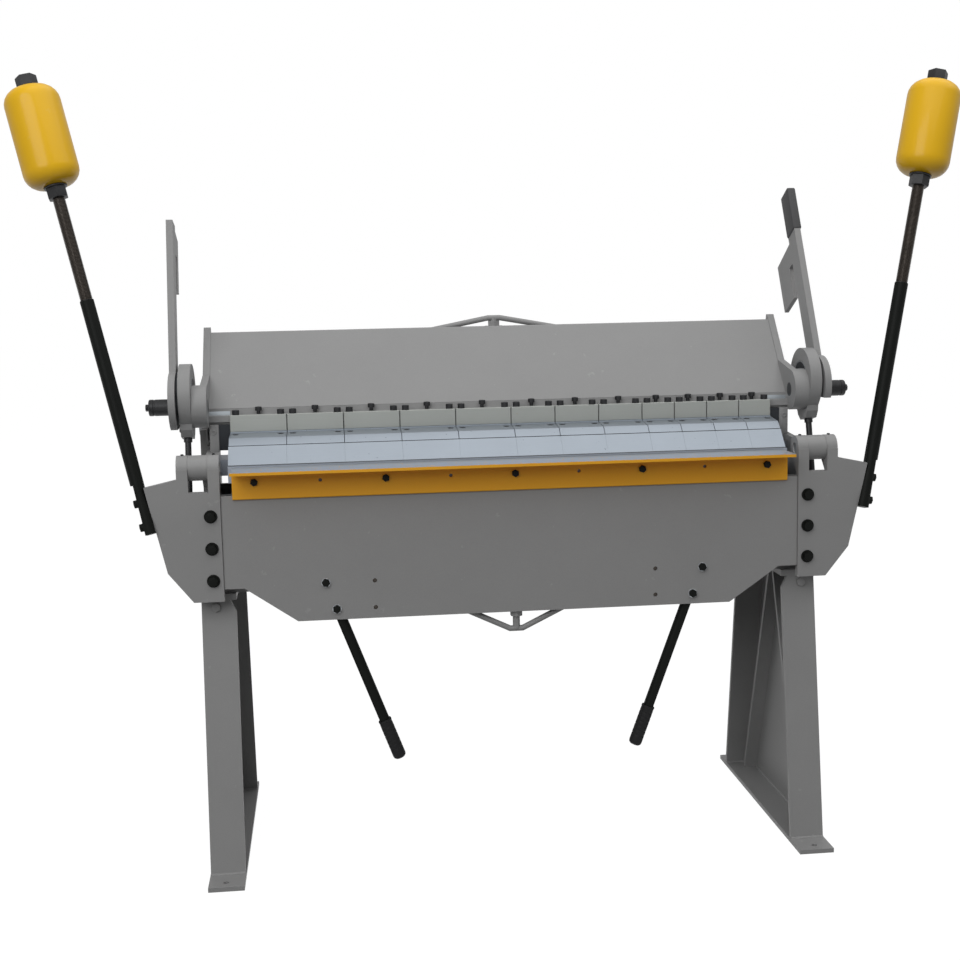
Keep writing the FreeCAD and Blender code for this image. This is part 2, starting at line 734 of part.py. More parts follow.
def hinge_pins():
    """Pins held in the ears, turning in the barrels."""
    pin = round_x(HINGE_PIN_R, ARM_IN + HINGE_PIN_SHORT, EAR_OUT - HINGE_PIN_SHORT, 0, BED_Z)
    return [mirrored(pin), pin]


def arm_bolts():
    """Heads of the large black bolts that hold the arms to the cleats."""
    bolts = []
    for x, z in arm_bolt_places():
        start = place(x, -ARM_FRONT - ARM_BOLT_HEAD, z)
        bolt = hexagon(ARM_BOLT_HEAD_R, ARM_BOLT_HEAD, start, Vector(0, 1, 0))
        bolts += [bolt, mirrored(bolt)]
    return bolts


def apron_bolts():
    """Heads of the bolts of the wear angle and of the two handles."""
    bolts = []
    face = -APRON_FRONT - ANGLE_PLATE
    for x in angle_bolt_places():
        start = place(x, face - ANGLE_BOLT_HEAD, bolt_row_z())
        bolts.append(hexagon(ANGLE_BOLT_HEAD_R, ANGLE_BOLT_HEAD, start, Vector(0, 1, 0)))
    for x, z in handle_bolt_places():
        for side in (-1, 1):
            start = place(side * x, -APRON_FRONT - HANDLE_BOLT_HEAD, z)
            bolts.append(hexagon(HANDLE_BOLT_HEAD_R, HANDLE_BOLT_HEAD, start, Vector(0, 1, 0)))
    return bolts


def handle_direction():
    """Unit vector down the right handle, which leans towards the middle."""
    tilt = math.radians(HANDLE_TILT)
    return Vector(-math.sin(tilt), 0, -math.cos(tilt))


def handle_bolt_places():
    """X and Z of the two bolts of the right handle."""
    down = handle_direction()
    up = down * -HANDLE_BOLT_PITCH
    return [(HANDLE_X, HANDLE_Z), (HANDLE_X + up.x, HANDLE_Z + up.z)]


def spare_holes():
    """X and Z of the empty holes for the other handle position."""
    return [(SPARE_HOLE_X, HANDLE_Z), (SPARE_HOLE_X, HANDLE_Z + SPARE_HOLE_RISE)]


def handle_y():
    """Middle of the handle rod behind the plate."""
    return -APRON_BACK + HANDLE_R


def handle_rod():
    """Round handle bar, bolted behind the apron."""
    down = handle_direction()
    middle = place(HANDLE_X, handle_y(), HANDLE_Z)
    return round_between(HANDLE_R, middle - down * HANDLE_ABOVE, middle + down * (HANDLE_BELOW - HANDLE_GRIP_TIP))


def handle_grip():
    """Moulded sleeve on the lower end of the handle, closed at its tip."""
    down = handle_direction()
    start = place(HANDLE_X, handle_y(), HANDLE_Z) + down * (HANDLE_BELOW - HANDLE_GRIP)
    ease = HANDLE_GRIP_EASE
    outline = [
        (HANDLE_R, 0),
        (HANDLE_GRIP_R, 0),
        (HANDLE_GRIP_R, HANDLE_GRIP - ease),
        (HANDLE_GRIP_R - ease, HANDLE_GRIP),
        (0, HANDLE_GRIP),
        (0, HANDLE_GRIP - HANDLE_GRIP_TIP),
        (HANDLE_R, HANDLE_GRIP - HANDLE_GRIP_TIP),
    ]
    return turned(outline, start, down)


def truss(radius, span, end_z, mid_z, y, strut_z, nut_z):
    """Bent truss rod with its strut: straight ends rise or fall to a short middle length."""
    path = [(-span, end_z), (-TRUSS_FLAT, mid_z), (TRUSS_FLAT, mid_z), (span, end_z)]
    points = [place(x, y, z) for x, z in path]
    start = Part.Wire(Part.makeCircle(radius, points[0], points[1].sub(points[0])))
    rod = Part.makePolygon(points).makePipeShell([start], True, False, 1)
    low, high = min(mid_z, strut_z), max(mid_z, strut_z)
    strut = round_z(STRUT_R, low, high, 0, y)
    nut = hexagon(TRUSS_NUT_R, TRUSS_NUT, place(0, y, nut_z), Vector(0, 0, 1))
    return rod.fuse([strut, nut])


def apron_truss():
    """Truss rod behind the apron, from the ends of its bar to a strut under its middle."""
    end_z = APRON_TOP_Z - BAR_LAP - APRON_TRUSS_R
    mid_z = APRON_BOTTOM_Z - APRON_TRUSS_DROP + APRON_TRUSS_R
    strut_z = APRON_BOTTOM_Z + APRON_STRUT_UP
    nut_z = APRON_BOTTOM_Z - TRUSS_NUT - TRUSS_NUT_GAP
    return truss(APRON_TRUSS_R, APRON_TRUSS_SPAN, end_z, mid_z, -APRON_BACK + STRUT_R, strut_z, nut_z)


def beam_truss():
    """Truss rod behind the hood, from the end plates to a strut over its middle."""
    mid_z = LEDGE_PLATE_TOP_Z + BEAM_TRUSS_PEAK
    end_z = LEDGE_PLATE_TOP_Z + BEAM_TRUSS_LOW
    whole = truss(BEAM_TRUSS_R, END_PLATE_IN, end_z, mid_z, BEAM_TRUSS_Y, HOOD_TOP_Z, HOOD_TOP_Z)
    low_y, high_y = BEAM_TRUSS_Y - 2 * TRUSS_NUT_R, BEAM_TRUSS_Y + 2 * TRUSS_NUT_R
    return whole.common(block(-END_PLATE_IN, END_PLATE_IN, low_y, high_y, LEDGE_PLATE_Z, mid_z + TRUSS_NUT_R))


# Counterweights

def tube_direction():
    """Unit vector up the right counterweight bar."""
    return Vector(TUBE_LEAN_X, TUBE_LEAN_Y, 1.0).normalize()


def tube_point(z):
    """Point of the right bar's middle line at a height."""
    rise = z - TUBE_FOOT_Z
    edge_lean = (ARM_HIGH_X - ARM_LOW_X) / (ARM_HIGH_Z - ARM_LOW_Z)
    foot_x = ARM_LOW_X + edge_lean * (TUBE_FOOT_Z - ARM_LOW_Z) + (TUBE_R - TUBE_FLAT_DEPTH) / edge_normal().x
    return place(foot_x + rise * TUBE_LEAN_X, TUBE_FOOT_Y + rise * TUBE_LEAN_Y, z)


def tube_seat():
    """Distance from the arm's edge to the face under the tube bolts' heads."""
    return 2 * TUBE_R - TUBE_FLAT_DEPTH - TUBE_FACE_DEPTH


def edge_normal():
    """Unit vector out of the slanted edge of the right hinge arm."""
    run = Vector(ARM_HIGH_X - ARM_LOW_X, 0, ARM_HIGH_Z - ARM_LOW_Z)
    return Vector(run.z, 0, -run.x).normalize()


def counterweight_tube():
    """Tube with a flat pressed on its foot, where it lies on the arm's slanted edge."""
    up = tube_direction()
    foot = tube_point(TUBE_FOOT_Z)
    top = tube_point(TUBE_TOP_Z)
    tube = round_between(TUBE_R, foot, top)
    for offset, length in ((-2 * TUBE_R, 2 * TUBE_FLAT), (tube_seat(), TUBE_FLAT)):
        tube = tube.cut(flat_tool(offset, length))
    bore = round_between(THREAD_R, top - up * THREAD_IN_TUBE, top + up)
    return tube.cut(bore)


def flat_tool(offset, length):
    """Box that presses a flat on the tube, from an offset off the slanted edge outwards."""
    normal = edge_normal() * (2 * TUBE_R)
    run = Vector(ARM_HIGH_X - ARM_LOW_X, 0, ARM_HIGH_Z - ARM_LOW_Z).normalize()
    low = place(ARM_LOW_X, TUBE_FOOT_Y - TUBE_FLAT, ARM_LOW_Z) + edge_normal() * offset
    high = low + run * ((TUBE_FOOT_Z - ARM_LOW_Z) / run.z + length)
    corners = [low, low + normal, high + normal, high]
    return Part.Face(Part.makePolygon(corners + corners[:1])).extrude(Vector(0, 2 * TUBE_FLAT, 0))


def tube_bolt_points():
    """Points on the slanted edge where the two tube bolts enter it."""
    run = Vector(ARM_HIGH_X - ARM_LOW_X, 0, ARM_HIGH_Z - ARM_LOW_Z).normalize()
    points = []
    for step in range(2):
        rise = TUBE_FOOT_Z - ARM_LOW_Z + TUBE_BOLT_FIRST + TUBE_BOLT_PITCH * step
        y = TUBE_FOOT_Y + (rise - TUBE_FOOT_Z + ARM_LOW_Z) * TUBE_LEAN_Y
        points.append(place(ARM_LOW_X, y, ARM_LOW_Z) + run * (rise / run.z))
    return points


def tube_bolts():
    """Heads of the black bolts on the flattened foot."""
    normal = edge_normal()
    bolts = []
    for point in tube_bolt_points():
        bolt = hexagon(TUBE_BOLT_HEAD_R, TUBE_BOLT_HEAD, point + normal * tube_seat(), normal)
        bolts += [bolt, mirrored(bolt)]
    return bolts


def threaded_rod():
    """Threaded upper length of the bar."""
    up = tube_direction()
    start = tube_point(TUBE_TOP_Z) - up * THREAD_IN_TUBE
    end = tube_point(WEIGHT_FOOT_Z) + up * (WEIGHT_LENGTH + WASHER + NUT + THREAD_PAST_NUT)
    return round_between(THREAD_R, start, end)


def weight():
    """Turned counterweight with rounded ends and a bore for the rod."""
    bore = THREAD_R + RUN_GAP
    outline = [
        (bore, 0),
        (WEIGHT_R - WEIGHT_ROUND, 0),
        (WEIGHT_R - WEIGHT_EASE, WEIGHT_EASE),
        (WEIGHT_R, WEIGHT_ROUND),
        (WEIGHT_R, WEIGHT_LENGTH - WEIGHT_ROUND),
        (WEIGHT_R - WEIGHT_EASE, WEIGHT_LENGTH - WEIGHT_EASE),
        (WEIGHT_R - WEIGHT_ROUND, WEIGHT_LENGTH),
        (bore, WEIGHT_LENGTH),
    ]
    return turned(outline, tube_point(WEIGHT_FOOT_Z), tube_direction())


def weight_nuts():
    """Nut and washer under the weight and on top of it."""
    up = tube_direction()
    foot = tube_point(WEIGHT_FOOT_Z)
    top = foot + up * WEIGHT_LENGTH
    pieces = []
    for seat, along in ((foot, up * -1.0), (top, up)):
        washer = round_between(WASHER_R, seat, seat + along * WASHER)
        nut = hexagon(NUT_R, NUT, seat + along * WASHER, along)
        piece = washer.fuse(nut)
        pieces.append(piece.cut(round_between(THREAD_R + RUN_GAP, seat - along, seat + along * (WASHER + NUT + 1))))
    return pieces


# Upper beam

def finger_edges():
    """X of the sides of each finger, from the left."""
    edges = [-FINGER_ROW / 2]
    for width in FINGER_WIDTHS:
        edges.append(edges[-1] + width)
    return edges


def finger_outline():
    """Section of a finger: land, ground nose face, bevel, screw ledge and back."""
    y0 = NOSE_SETBACK
    face_y = y0 + NOSE_FACE_Y
    ledge_y = face_y + BEVEL_Y
    return [
        (y0, NOSE_Z),
        (face_y, NOSE_Z + NOSE_FACE_Z),
        (ledge_y, LEDGE_FRONT_Z),
        (BLOCK_Y, LEDGE_FRONT_Z + LEDGE_RISE),
        (BLOCK_Y, BLOCK_Z),
        (FINGER_BACK_Y, BLOCK_Z),
        (FINGER_BACK_Y, NOSE_Z + FINGER_RELIEF),
        (y0 + FINGER_LAND + FINGER_RELIEF, NOSE_Z + FINGER_RELIEF),
        (y0 + FINGER_LAND, NOSE_Z),
    ]


def finger(x0, x1):
    """One finger, a slit short of its share of the row."""
    return slab_x(finger_outline(), x0 + FINGER_SLIT / 2, x1 - FINGER_SLIT / 2)


def clamp_block(x0, x1):
    """Clamp block on a finger, with a broken upper edge."""
    shape = block(x0 + FINGER_SLIT / 2, x1 - FINGER_SLIT / 2, BLOCK_Y, FINGER_BACK_Y, BLOCK_Z, BLOCK_TOP_Z)
    front = edges_along(shape, Vector(1, 0, 0), lambda p: p.y < BLOCK_Y + HINGE_Y + 1 and p.z > BLOCK_TOP_Z - 1)
    return shape.makeChamfer(BLOCK_EDGE, front)


def jack_screw_y():
    """Middle of the jack screws, between the blocks and the hood."""
    return BLOCK_Y + BLOCK_DEPTH / 2 + JACK_SCREW_BACK


def jack_screws():
    """The screw that stands on the ledge plate over each finger."""
    edges = finger_edges()
    screws = []
    for x0, x1 in zip(edges, edges[1:]):
        start = place((x0 + x1) / 2, jack_screw_y(), LEDGE_PLATE_TOP_Z)
        screws.append(hexagon(JACK_SCREW_HEAD_R, JACK_SCREW_STANDS, start, Vector(0, 0, 1)))
    return screws


def finger_bar():
    """Dark bar behind the fingers, which takes the clamping load."""
    half = FINGER_ROW / 2 + FINGER_BAR_OVER
    y0 = FINGER_BACK_Y
    return block(-half, half, y0, y0 + FINGER_BAR_DEPTH, FINGER_BAR_TOP_Z - FINGER_BAR_HEIGHT, FINGER_BAR_TOP_Z)


def ledge_plate():
    """Flat plate of the beam over the fingers, with the seat of the hood."""
    y0 = FINGER_BACK_Y
    plate = block(-END_PLATE_IN, END_PLATE_IN, y0, y0 + LEDGE_PLATE_DEPTH, LEDGE_PLATE_Z, LEDGE_PLATE_TOP_Z)
    keel = block(-END_PLATE_IN, END_PLATE_IN, y0 + KEEL_BACK, y0 + FINGER_BAR_DEPTH, FINGER_BAR_TOP_Z, LEDGE_PLATE_Z)
    seat_y = y0 + HOOD_FOOT - HOOD_SEAT_LIP
    seat = block(-END_PLATE_IN, END_PLATE_IN, seat_y, seat_y + HOOD_SEAT_DEPTH, LEDGE_PLATE_TOP_Z, HOOD_FOOT_Z)
    return plate.fuse([keel, seat]).removeSplitter()


def hood():
    """Sloping front plate of the beam, bent over at its top edge, with the seat of the truss strut."""
    slope = Vector(0, HOOD_RUN, HOOD_RISE).normalize()
    across = Vector(0, slope.z, -slope.y) * HOOD_PLATE
    y0 = FINGER_BACK_Y + HOOD_FOOT
    z0 = HOOD_FOOT_Z
    foot_back = HOOD_PLATE / slope.z
    outline = [
        (y0, z0),
        (HOOD_TOP_Y, HOOD_TOP_Z),
        (HOOD_TOP_Y + HOOD_TOP_RETURN, HOOD_TOP_Z),
        (HOOD_TOP_Y + HOOD_TOP_RETURN, HOOD_TOP_Z - HOOD_PLATE),
        (HOOD_TOP_Y + foot_back - HOOD_PLATE * slope.y / slope.z, HOOD_TOP_Z - HOOD_PLATE),
        (y0 + foot_back, z0),
    ]
    plate = slab_x(outline, -END_PLATE_IN, END_PLATE_IN)
    bend = edges_along(plate, Vector(1, 0, 0), lambda p: hood_corner(p))
    plate = plate.makeFillet(HOOD_BEND_R, bend)
    seat_y = BEAM_TRUSS_Y + STRUT_R + TRUSS_SEAT_EDGE
    seat = block(-TRUSS_SEAT, TRUSS_SEAT, HOOD_TOP_Y + HOOD_BEND_R, seat_y, HOOD_TOP_Z - HOOD_PLATE, HOOD_TOP_Z)
    return plate.fuse(seat).removeSplitter()


def hood_corner(point):
    """Whether a point lies on the outer bend of the hood."""
    return abs(point.y - HINGE_Y - HOOD_TOP_Y) < 0.01 and abs(point.z - HOOD_TOP_Z) < 0.01


def end_plate_outline():
    """Outline of the beam's end plate: it follows the hood and runs back to the pivot."""
    slope = HOOD_RUN / HOOD_RISE
    top_z = HOOD_TOP_Z + END_PLATE_ABOVE
    shoulder_z = SHAFT_Z + BOSS_R + END_PLATE_SHOULDER
    edge_y = HOOD_TOP_Y - END_PLATE_PROUD - HOOD_TOP_Z * slope
    return [
        (SHAFT_Y, SHAFT_Z + BOSS_R * 0.999),
        (edge_y + shoulder_z * slope, shoulder_z),
        (edge_y + top_z * slope, top_z),
        (HOOD_TOP_Y + HOOD_TOP_RETURN + END_PLATE_PROUD, top_z),
        (PIVOT_Y + PIVOT_LOBE_R * 0.99, PIVOT_Z),
        (PIVOT_Y, PIVOT_Z - PIVOT_LOBE_R * 0.6),
        (PIVOT_Y - PIVOT_LOBE_R * 0.99, PIVOT_Z),
        (PIVOT_Y - PIVOT_LOBE_R * 1.8, SHAFT_Z - BOSS_R * 0.96),
        (SHAFT_Y + BOSS_R * 0.2, SHAFT_Z - BOSS_R * 0.97),
    ]


def end_plate():
    """End plate with the boss of the cam shaft and the lobe of the rear pivot."""
    x0 = END_PLATE_IN
    plate = slab_x(end_plate_outline(), x0, x0 + END_PLATE)
    boss = round_x(BOSS_R, x0, BOSS_FACE, SHAFT_Y, SHAFT_Z)
    lobe = round_x(PIVOT_LOBE_R, x0, x0 + END_PLATE, PIVOT_Y, PIVOT_Z)
    plate = plate.fuse([boss, lobe])
    plate = plate.cut(round_x(SHAFT_R + RUN_GAP, x0 - 1, BOSS_FACE + 1, SHAFT_Y, SHAFT_Z))
    return plate.cut(round_x(PIVOT_PIN_R, x0 - 1, x0 + END_PLATE + 1, PIVOT_Y, PIVOT_Z)).removeSplitter()


def pivot_pins():
    """Pins fixed in the end plates, turning in the cheeks of the side frames."""
    seat = pivot_block_out() + FACE_GAP
    pin = round_x(PIVOT_PIN_R, END_PLATE_IN, seat, PIVOT_Y, PIVOT_Z)
    head = round_x(PIVOT_HEAD_R, seat, seat + PIVOT_HEAD, PIVOT_Y, PIVOT_Z)
    pin = pin.fuse(head)
    return [mirrored(pin), pin]


# Cams, levers and straps. The two sides stand at different angles, so each has its own.

def cam_middle():
    """Y and Z of the middle of the eccentric."""
    lean = math.radians(CAM_BACK)
    return SHAFT_Y + CAM_OFFSET * math.sin(lean), SHAFT_Z + CAM_OFFSET * math.cos(lean)


def cam_shaft():
    """Turned shaft with its eccentric and the collar that keeps the strap on it, all one piece."""
    y, z = cam_middle()
    shaft = round_x(SHAFT_R, END_PLATE_IN, LEVER_OUT, SHAFT_Y, SHAFT_Z)
    eccentric = round_x(CAM_R, STRAP_IN, COLLAR_IN, y, z)
    collar = round_x(COLLAR_R, COLLAR_IN, LEVER_IN, y, z)
    return shaft.fuse([eccentric, collar])


def lever_frame(side):
    """Unit vectors up the lever bar and backwards across it."""
    lean = math.radians(LEVER_BACK[side])
    up = Vector(0, math.sin(lean), math.cos(lean))
    return up, Vector(0, up.z, -up.y)


def lever_slab(side, points, x0, x1):
    """A plate in the plane of the lever, from (across, up) corners round the shaft's middle."""
    up, back = lever_frame(side)
    origin = place(x0, SHAFT_Y, SHAFT_Z)
    corners = [origin + back * across + up * along for across, along in points]
    return Part.Face(Part.makePolygon(corners + corners[:1])).extrude(Vector(x1 - x0, 0, 0))


def lever(side):
    """Lever: round lower end with a flat foot on the shaft, straight bar and a hook plate behind it."""
    half = LEVER_BAR / 2
    up, back = lever_frame(side)
    plate = lever_slab(side, [(-half, 0), (half, 0), (half, LEVER_LENGTH), (-half, LEVER_LENGTH)], LEVER_IN, LEVER_OUT)
    middle = place(LEVER_IN, SHAFT_Y, SHAFT_Z) + up * LEVER_ROUND_UP
    end = Part.makeCylinder(LEVER_ROUND_R, LEVER_PLATE, middle, Vector(1, 0, 0))
    foot = SHAFT_Z - LEVER_FOOT[side]
    reach = LEVER_ROUND_R * 2
    below = block(LEVER_IN, LEVER_OUT, SHAFT_Y - reach, SHAFT_Y + reach, foot - LEVER_ROUND_R, foot)
    plate = plate.fuse(end.cut(below))
    if side == 1:
        tang = half - GRIP_WALL
        start = LEVER_LENGTH - TANG_LAP
        end = GRIP_START + GRIP_LENGTH - GRIP_TIP
        tang_points = [(-tang, start), (tang, start), (tang, end), (-tang, end)]
        plate = plate.fuse(lever_slab(side, tang_points, LEVER_IN, LEVER_OUT))
    plate = plate.fuse(lever_slab(side, hook_points(side), LEVER_IN, LEVER_IN + HOOK_PLATE))
    plate = plate.cut(round_x(SHAFT_R, LEVER_IN - 1, LEVER_OUT + 1, SHAFT_Y, SHAFT_Z))
    return plate.removeSplitter()


def hook_points(side):
    """Corners of the hook plate: a flag on the bar's rear edge with a mouth beside the bar."""
    edge = LEVER_BAR / 2
    top = HOOK_TOP[side]
    low = top - HOOK_DEPTH
    return [
        (edge, top),
        (edge + HOOK_REACH[side], top - HOOK_FALL),
        (edge + HOOK_REACH[side], low),
        (edge + HOOK_MOUTH, low),
        (edge + HOOK_MOUTH, low + HOOK_MOUTH_DEPTH),
        (edge, low + HOOK_MOUTH_DEPTH),
    ]


def lever_cap(side):
    """Black end cap on the shaft, with its hexagon stub."""
    start = place(LEVER_OUT, SHAFT_Y, SHAFT_Z)
    length = CAP_LENGTH[side]
    cap = round_x(CAP_R, LEVER_OUT, LEVER_OUT + length, SHAFT_Y, SHAFT_Z)
    return cap.fuse(hexagon(CAP_STUB_R, CAP_STUB, start + Vector(length, 0, 0), Vector(1, 0, 0)))


def lever_grip():
    """Rectangular grip on the right lever."""
    half = LEVER_BAR / 2 + GRIP_PROUD
    end = GRIP_START + GRIP_LENGTH
    points = [(-half, LEVER_LENGTH), (half, LEVER_LENGTH), (half, end), (-half, end)]
    grip = lever_slab(1, points, LEVER_IN - GRIP_WALL, LEVER_OUT + GRIP_WALL)
    grip = grip.makeChamfer(GRIP_EASE, grip.Edges)
    tang = LEVER_BAR / 2 - GRIP_WALL
    low, high = LEVER_LENGTH - 1, end - GRIP_TIP
    hole = [(-tang, low), (tang, low), (tang, high), (-tang, high)]
    return grip.cut(lever_slab(1, hole, LEVER_IN, LEVER_OUT))


def rod_lean():
    """Angle by which the strap and its rod lean forwards from the eccentric to the lug."""
    y, z = cam_middle()
    return math.atan2(y - LUG_Y, z - LUG_Z)


def strap_neck_z():
    """Level of the strap's lower end, where its rod leaves it."""
    return cam_middle()[1] - STRAP_NECK_END * math.cos(rod_lean())


def strap():
    """Strap: a ring on the eccentric with a tapering neck that points down its rod."""
    y, z = cam_middle()
    half = STRAP_NECK / 2
    low = z - STRAP_NECK_END
    outline = [
        (y - half - STRAP_FLARE, z - STRAP_R * 0.75),
        (y + half + STRAP_FLARE, z - STRAP_R * 0.75),
        (y + half, low + STRAP_CORNER),
        (y + half - STRAP_CORNER, low),
        (y - half + STRAP_CORNER, low),
        (y - half, low + STRAP_CORNER),
    ]
    neck = slab_x(outline, STRAP_IN, STRAP_OUT)
    neck.rotate(place(0, y, z), Vector(1, 0, 0), -math.degrees(rod_lean()))
    ring = round_x(STRAP_R, STRAP_IN, STRAP_OUT, y, z).fuse(neck)
    ring = ring.cut(round_x(CAM_R + RUN_GAP, STRAP_IN - 1, STRAP_OUT + 1, y, z))
    hole = round_between(LINK_ROD_R, *link_ends(strap_neck_z() - LINK_COLLAR, strap_neck_z() + LINK_ROD_IN_STRAP))
    return ring.cut(hole).removeSplitter()


def link_ends(low, high):
    """Two points on the rod's middle line at two heights."""
    y, z = cam_middle()
    lean = (LUG_Y - y) / (LUG_Z - z)
    return place(STRAP_MID, y + (low - z) * lean, low), place(STRAP_MID, y + (high - z) * lean, high)


def nut_seat_z():
    """Level of the clamping nut's upper face, under the lug."""
    return LUG_Z - LUG - LINK_NUT_GAP


def link_rod():
    """Threaded rod from the strap through the lug, with its collar."""
    neck = strap_neck_z()
    end = nut_seat_z() - LINK_WASHER - LINK_NUT - LINK_ROD_PAST
    rod = round_between(LINK_ROD_R, *link_ends(end, neck + LINK_ROD_IN_STRAP))
    low, high = link_ends(neck - LINK_COLLAR, neck)
    return rod.fuse(round_between(LINK_COLLAR_R, low, high))


def clamp_nut():
    """Nut and washer on the rod, which set how hard the strap pulls."""
    low, high = link_ends(nut_seat_z() - LINK_WASHER - LINK_NUT, nut_seat_z())
    up = high.sub(low).normalize()
    washer = round_between(LINK_WASHER_R, high - up * LINK_WASHER, high)
    nut = hexagon(LINK_NUT_R, LINK_NUT, high - up * (LINK_WASHER + LINK_NUT), up)
    bore = round_between(LINK_ROD_R + RUN_GAP, low - up * LINK_NUT, high + up)
    return washer.fuse(nut).cut(bore)


def main():
    """Build every node and write it."""
    os.makedirs("parts", exist_ok=True)
    save_sides("base_plate", base_plate)
    save_sides("leg_front", lambda: leg_flange(LEG_FRONT_TOP_Y, LEG_FRONT_FOOT_Y))
    save_sides("leg_rear", lambda: leg_flange(LEG_REAR_TOP_Y, LEG_REAR_FOOT_Y))
    save_sides("leg_web", leg_web)
    save("leg_braces", leg_braces())
    save("leg_bolts", leg_bolts())
    save_sides("side_frame", side_frame)
    save("bed_plate", [bed_plate()])
    save("bed_beam", [bed_beam()])

    save("apron_plate", [apron_plate()])
    save("apron_bar", [apron_bar()])
    save("wear_angle", [wear_angle()])
    save("apron_cleats", apron_cleats())
    save_sides("hinge_arm", hinge_arm)
    save("hinge_pins", hinge_pins())
    save("arm_bolts", arm_bolts())
    save("apron_bolts", apron_bolts())
    save("handle_rods", [mirrored(handle_rod()), handle_rod()])
    save("handle_grips", [mirrored(handle_grip()), handle_grip()])
    save("apron_truss", [apron_truss()])
    save("counterweight_tubes", [mirrored(counterweight_tube()), counterweight_tube()])
    save("threaded_rods", [mirrored(threaded_rod()), threaded_rod()])
    save("tube_bolts", tube_bolts())
    save_sides("weight", weight)
    save("weight_nuts_left", [mirrored(nut) for nut in weight_nuts()])
    save("weight_nuts_right", weight_nuts())

    edges = finger_edges()
    for label, width in (("wide", FINGER_WIDE), ("middle", FINGER_MIDDLE), ("narrow", FINGER_NARROW)):
        pairs = [(a, b) for a, b, w in zip(edges, edges[1:], FINGER_WIDTHS) if w == width]
        save("fingers_" + label, [finger(a, b) for a, b in pairs])
        save("clamp_blocks_" + label, [clamp_block(a, b) for a, b in pairs])
    save("jack_screws", jack_screws())
    save("finger_bar", [finger_bar()])
    save("ledge_plate", [ledge_plate()])
    save("hood", [hood()])
    save_sides("end_plate", end_plate)
    save("pivot_pins", pivot_pins())
    save("beam_truss", [beam_truss()])

    for side, label in ((0, "left"), (1, "right")):
        turn = mirrored if side == 0 else (lambda shape: shape)
        save("cam_shaft_" + label, [turn(cam_shaft())])
        save("lever_" + label, [turn(lever(side))])
        save("lever_cap_" + label, [turn(lever_cap(side))])
        save("strap_" + label, [turn(strap())])
        save("link_rod_" + label, [turn(link_rod())])
        save("clamp_nut_" + label, [turn(clamp_nut())])
    save("lever_grip", [lever_grip()])


main()
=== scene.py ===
"""Looks of a floor-standing sheet metal folder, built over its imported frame.

Lengths inside the classes are millimetres in the frame of the part: the origin is on
the floor at the centre of the foot bolts, +X runs along the bed, the operator stands
on the -Y side and +Z is up. They become metres when a mesh is made.
"""

import logging
import math
from dataclasses import dataclass
from enum import Enum
from functools import cache
from typing import Callable, Iterable, Optional, Sequence, Union

import bmesh
import bpy
from mathutils import Matrix, Vector


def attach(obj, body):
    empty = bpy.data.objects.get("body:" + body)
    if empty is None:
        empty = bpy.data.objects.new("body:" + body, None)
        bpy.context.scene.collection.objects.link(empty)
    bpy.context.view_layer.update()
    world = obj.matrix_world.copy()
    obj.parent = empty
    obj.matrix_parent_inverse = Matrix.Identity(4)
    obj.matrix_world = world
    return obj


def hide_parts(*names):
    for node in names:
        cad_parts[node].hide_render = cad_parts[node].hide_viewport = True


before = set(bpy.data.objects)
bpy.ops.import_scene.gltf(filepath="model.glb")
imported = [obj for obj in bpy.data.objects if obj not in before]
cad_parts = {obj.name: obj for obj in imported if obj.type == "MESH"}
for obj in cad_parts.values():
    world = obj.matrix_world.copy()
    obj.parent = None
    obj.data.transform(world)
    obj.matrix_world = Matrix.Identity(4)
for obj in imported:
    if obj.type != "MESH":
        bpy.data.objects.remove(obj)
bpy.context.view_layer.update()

Pair = tuple[float, float]
Triple = tuple[float, float, float]
Colour = Triple

MM = 0.001
HINGE_Y = -191.5
SHANK_R = 5.0
MERGE = 1e-4
EASED_ANGLE = 30.0
SMOOTH_ANGLE = 32.0
RIDGE_STEPS = 14
BEAD_STEP = 2.2
UP = Vector((0, 0, 1))
OUT = Vector((1, 0, 0))
FRONT = Vector((0, -1, 0))

WHITE = (1.0, 1.0, 1.0, 1.0)
NOISE_ROUGHNESS = 0.6
SPECK_SCALE = 420.0
MIX_COLOURS = (6, 7)
MIX_RESULT = 2
RAYS = ("Is Camera Ray", "Is Glossy Ray")

log = logging.getLogger("folder")


class Side(Enum):
    """The two ends of the machine, with the sign of X there."""

    LEFT = -1
    RIGHT = 1

    @property
    def label(self) -> str:
        """The word used in the names of nodes and bodies."""
        return self.name.lower()


class Grain(Enum):
    """How a steel face was ground or turned, as scales of its noise along X, Y and Z."""

    ALONG_X = (6.0, 700.0, 700.0)
    CROSSED = (90.0, 90.0, 90.0)


# Shader arithmetic


class Level:
    """A number that varies over a surface, ready for Python arithmetic."""

    def __init__(self, bench: "Bench", socket: bpy.types.NodeSocket) -> None:
        """Keep the socket and the bench whose nodes it belongs to."""
        self.bench = bench
        self.socket = socket

    def _math(self, operation: str, first: "Term", second: "Term") -> "Level":
        """The result of one Math node."""
        return self.bench.node("ShaderNodeMath", {0: first, 1: second}, operation=operation)

    def __add__(self, other: "Term") -> "Level":
        """This level and another."""
        return self._math("ADD", self, other)

    __radd__ = __add__

    def __sub__(self, other: "Term") -> "Level":
        """This level less another."""
        return self._math("SUBTRACT", self, other)

    def __rsub__(self, other: "Term") -> "Level":
        """Another level less this one."""
        return self._math("SUBTRACT", other, self)

    def __mul__(self, other: "Term") -> "Level":
        """This level times another."""
        return self._math("MULTIPLY", self, other)

    def above(self, limit: float) -> "Level":
        """One where this level is over a limit, and nought elsewhere."""
        return self._math("GREATER_THAN", self, limit)

    def below(self, limit: float) -> "Level":
        """One where this level is under a limit, and nought elsewhere."""
        return self._math("LESS_THAN", self, limit)


Term = Union[Level, float]


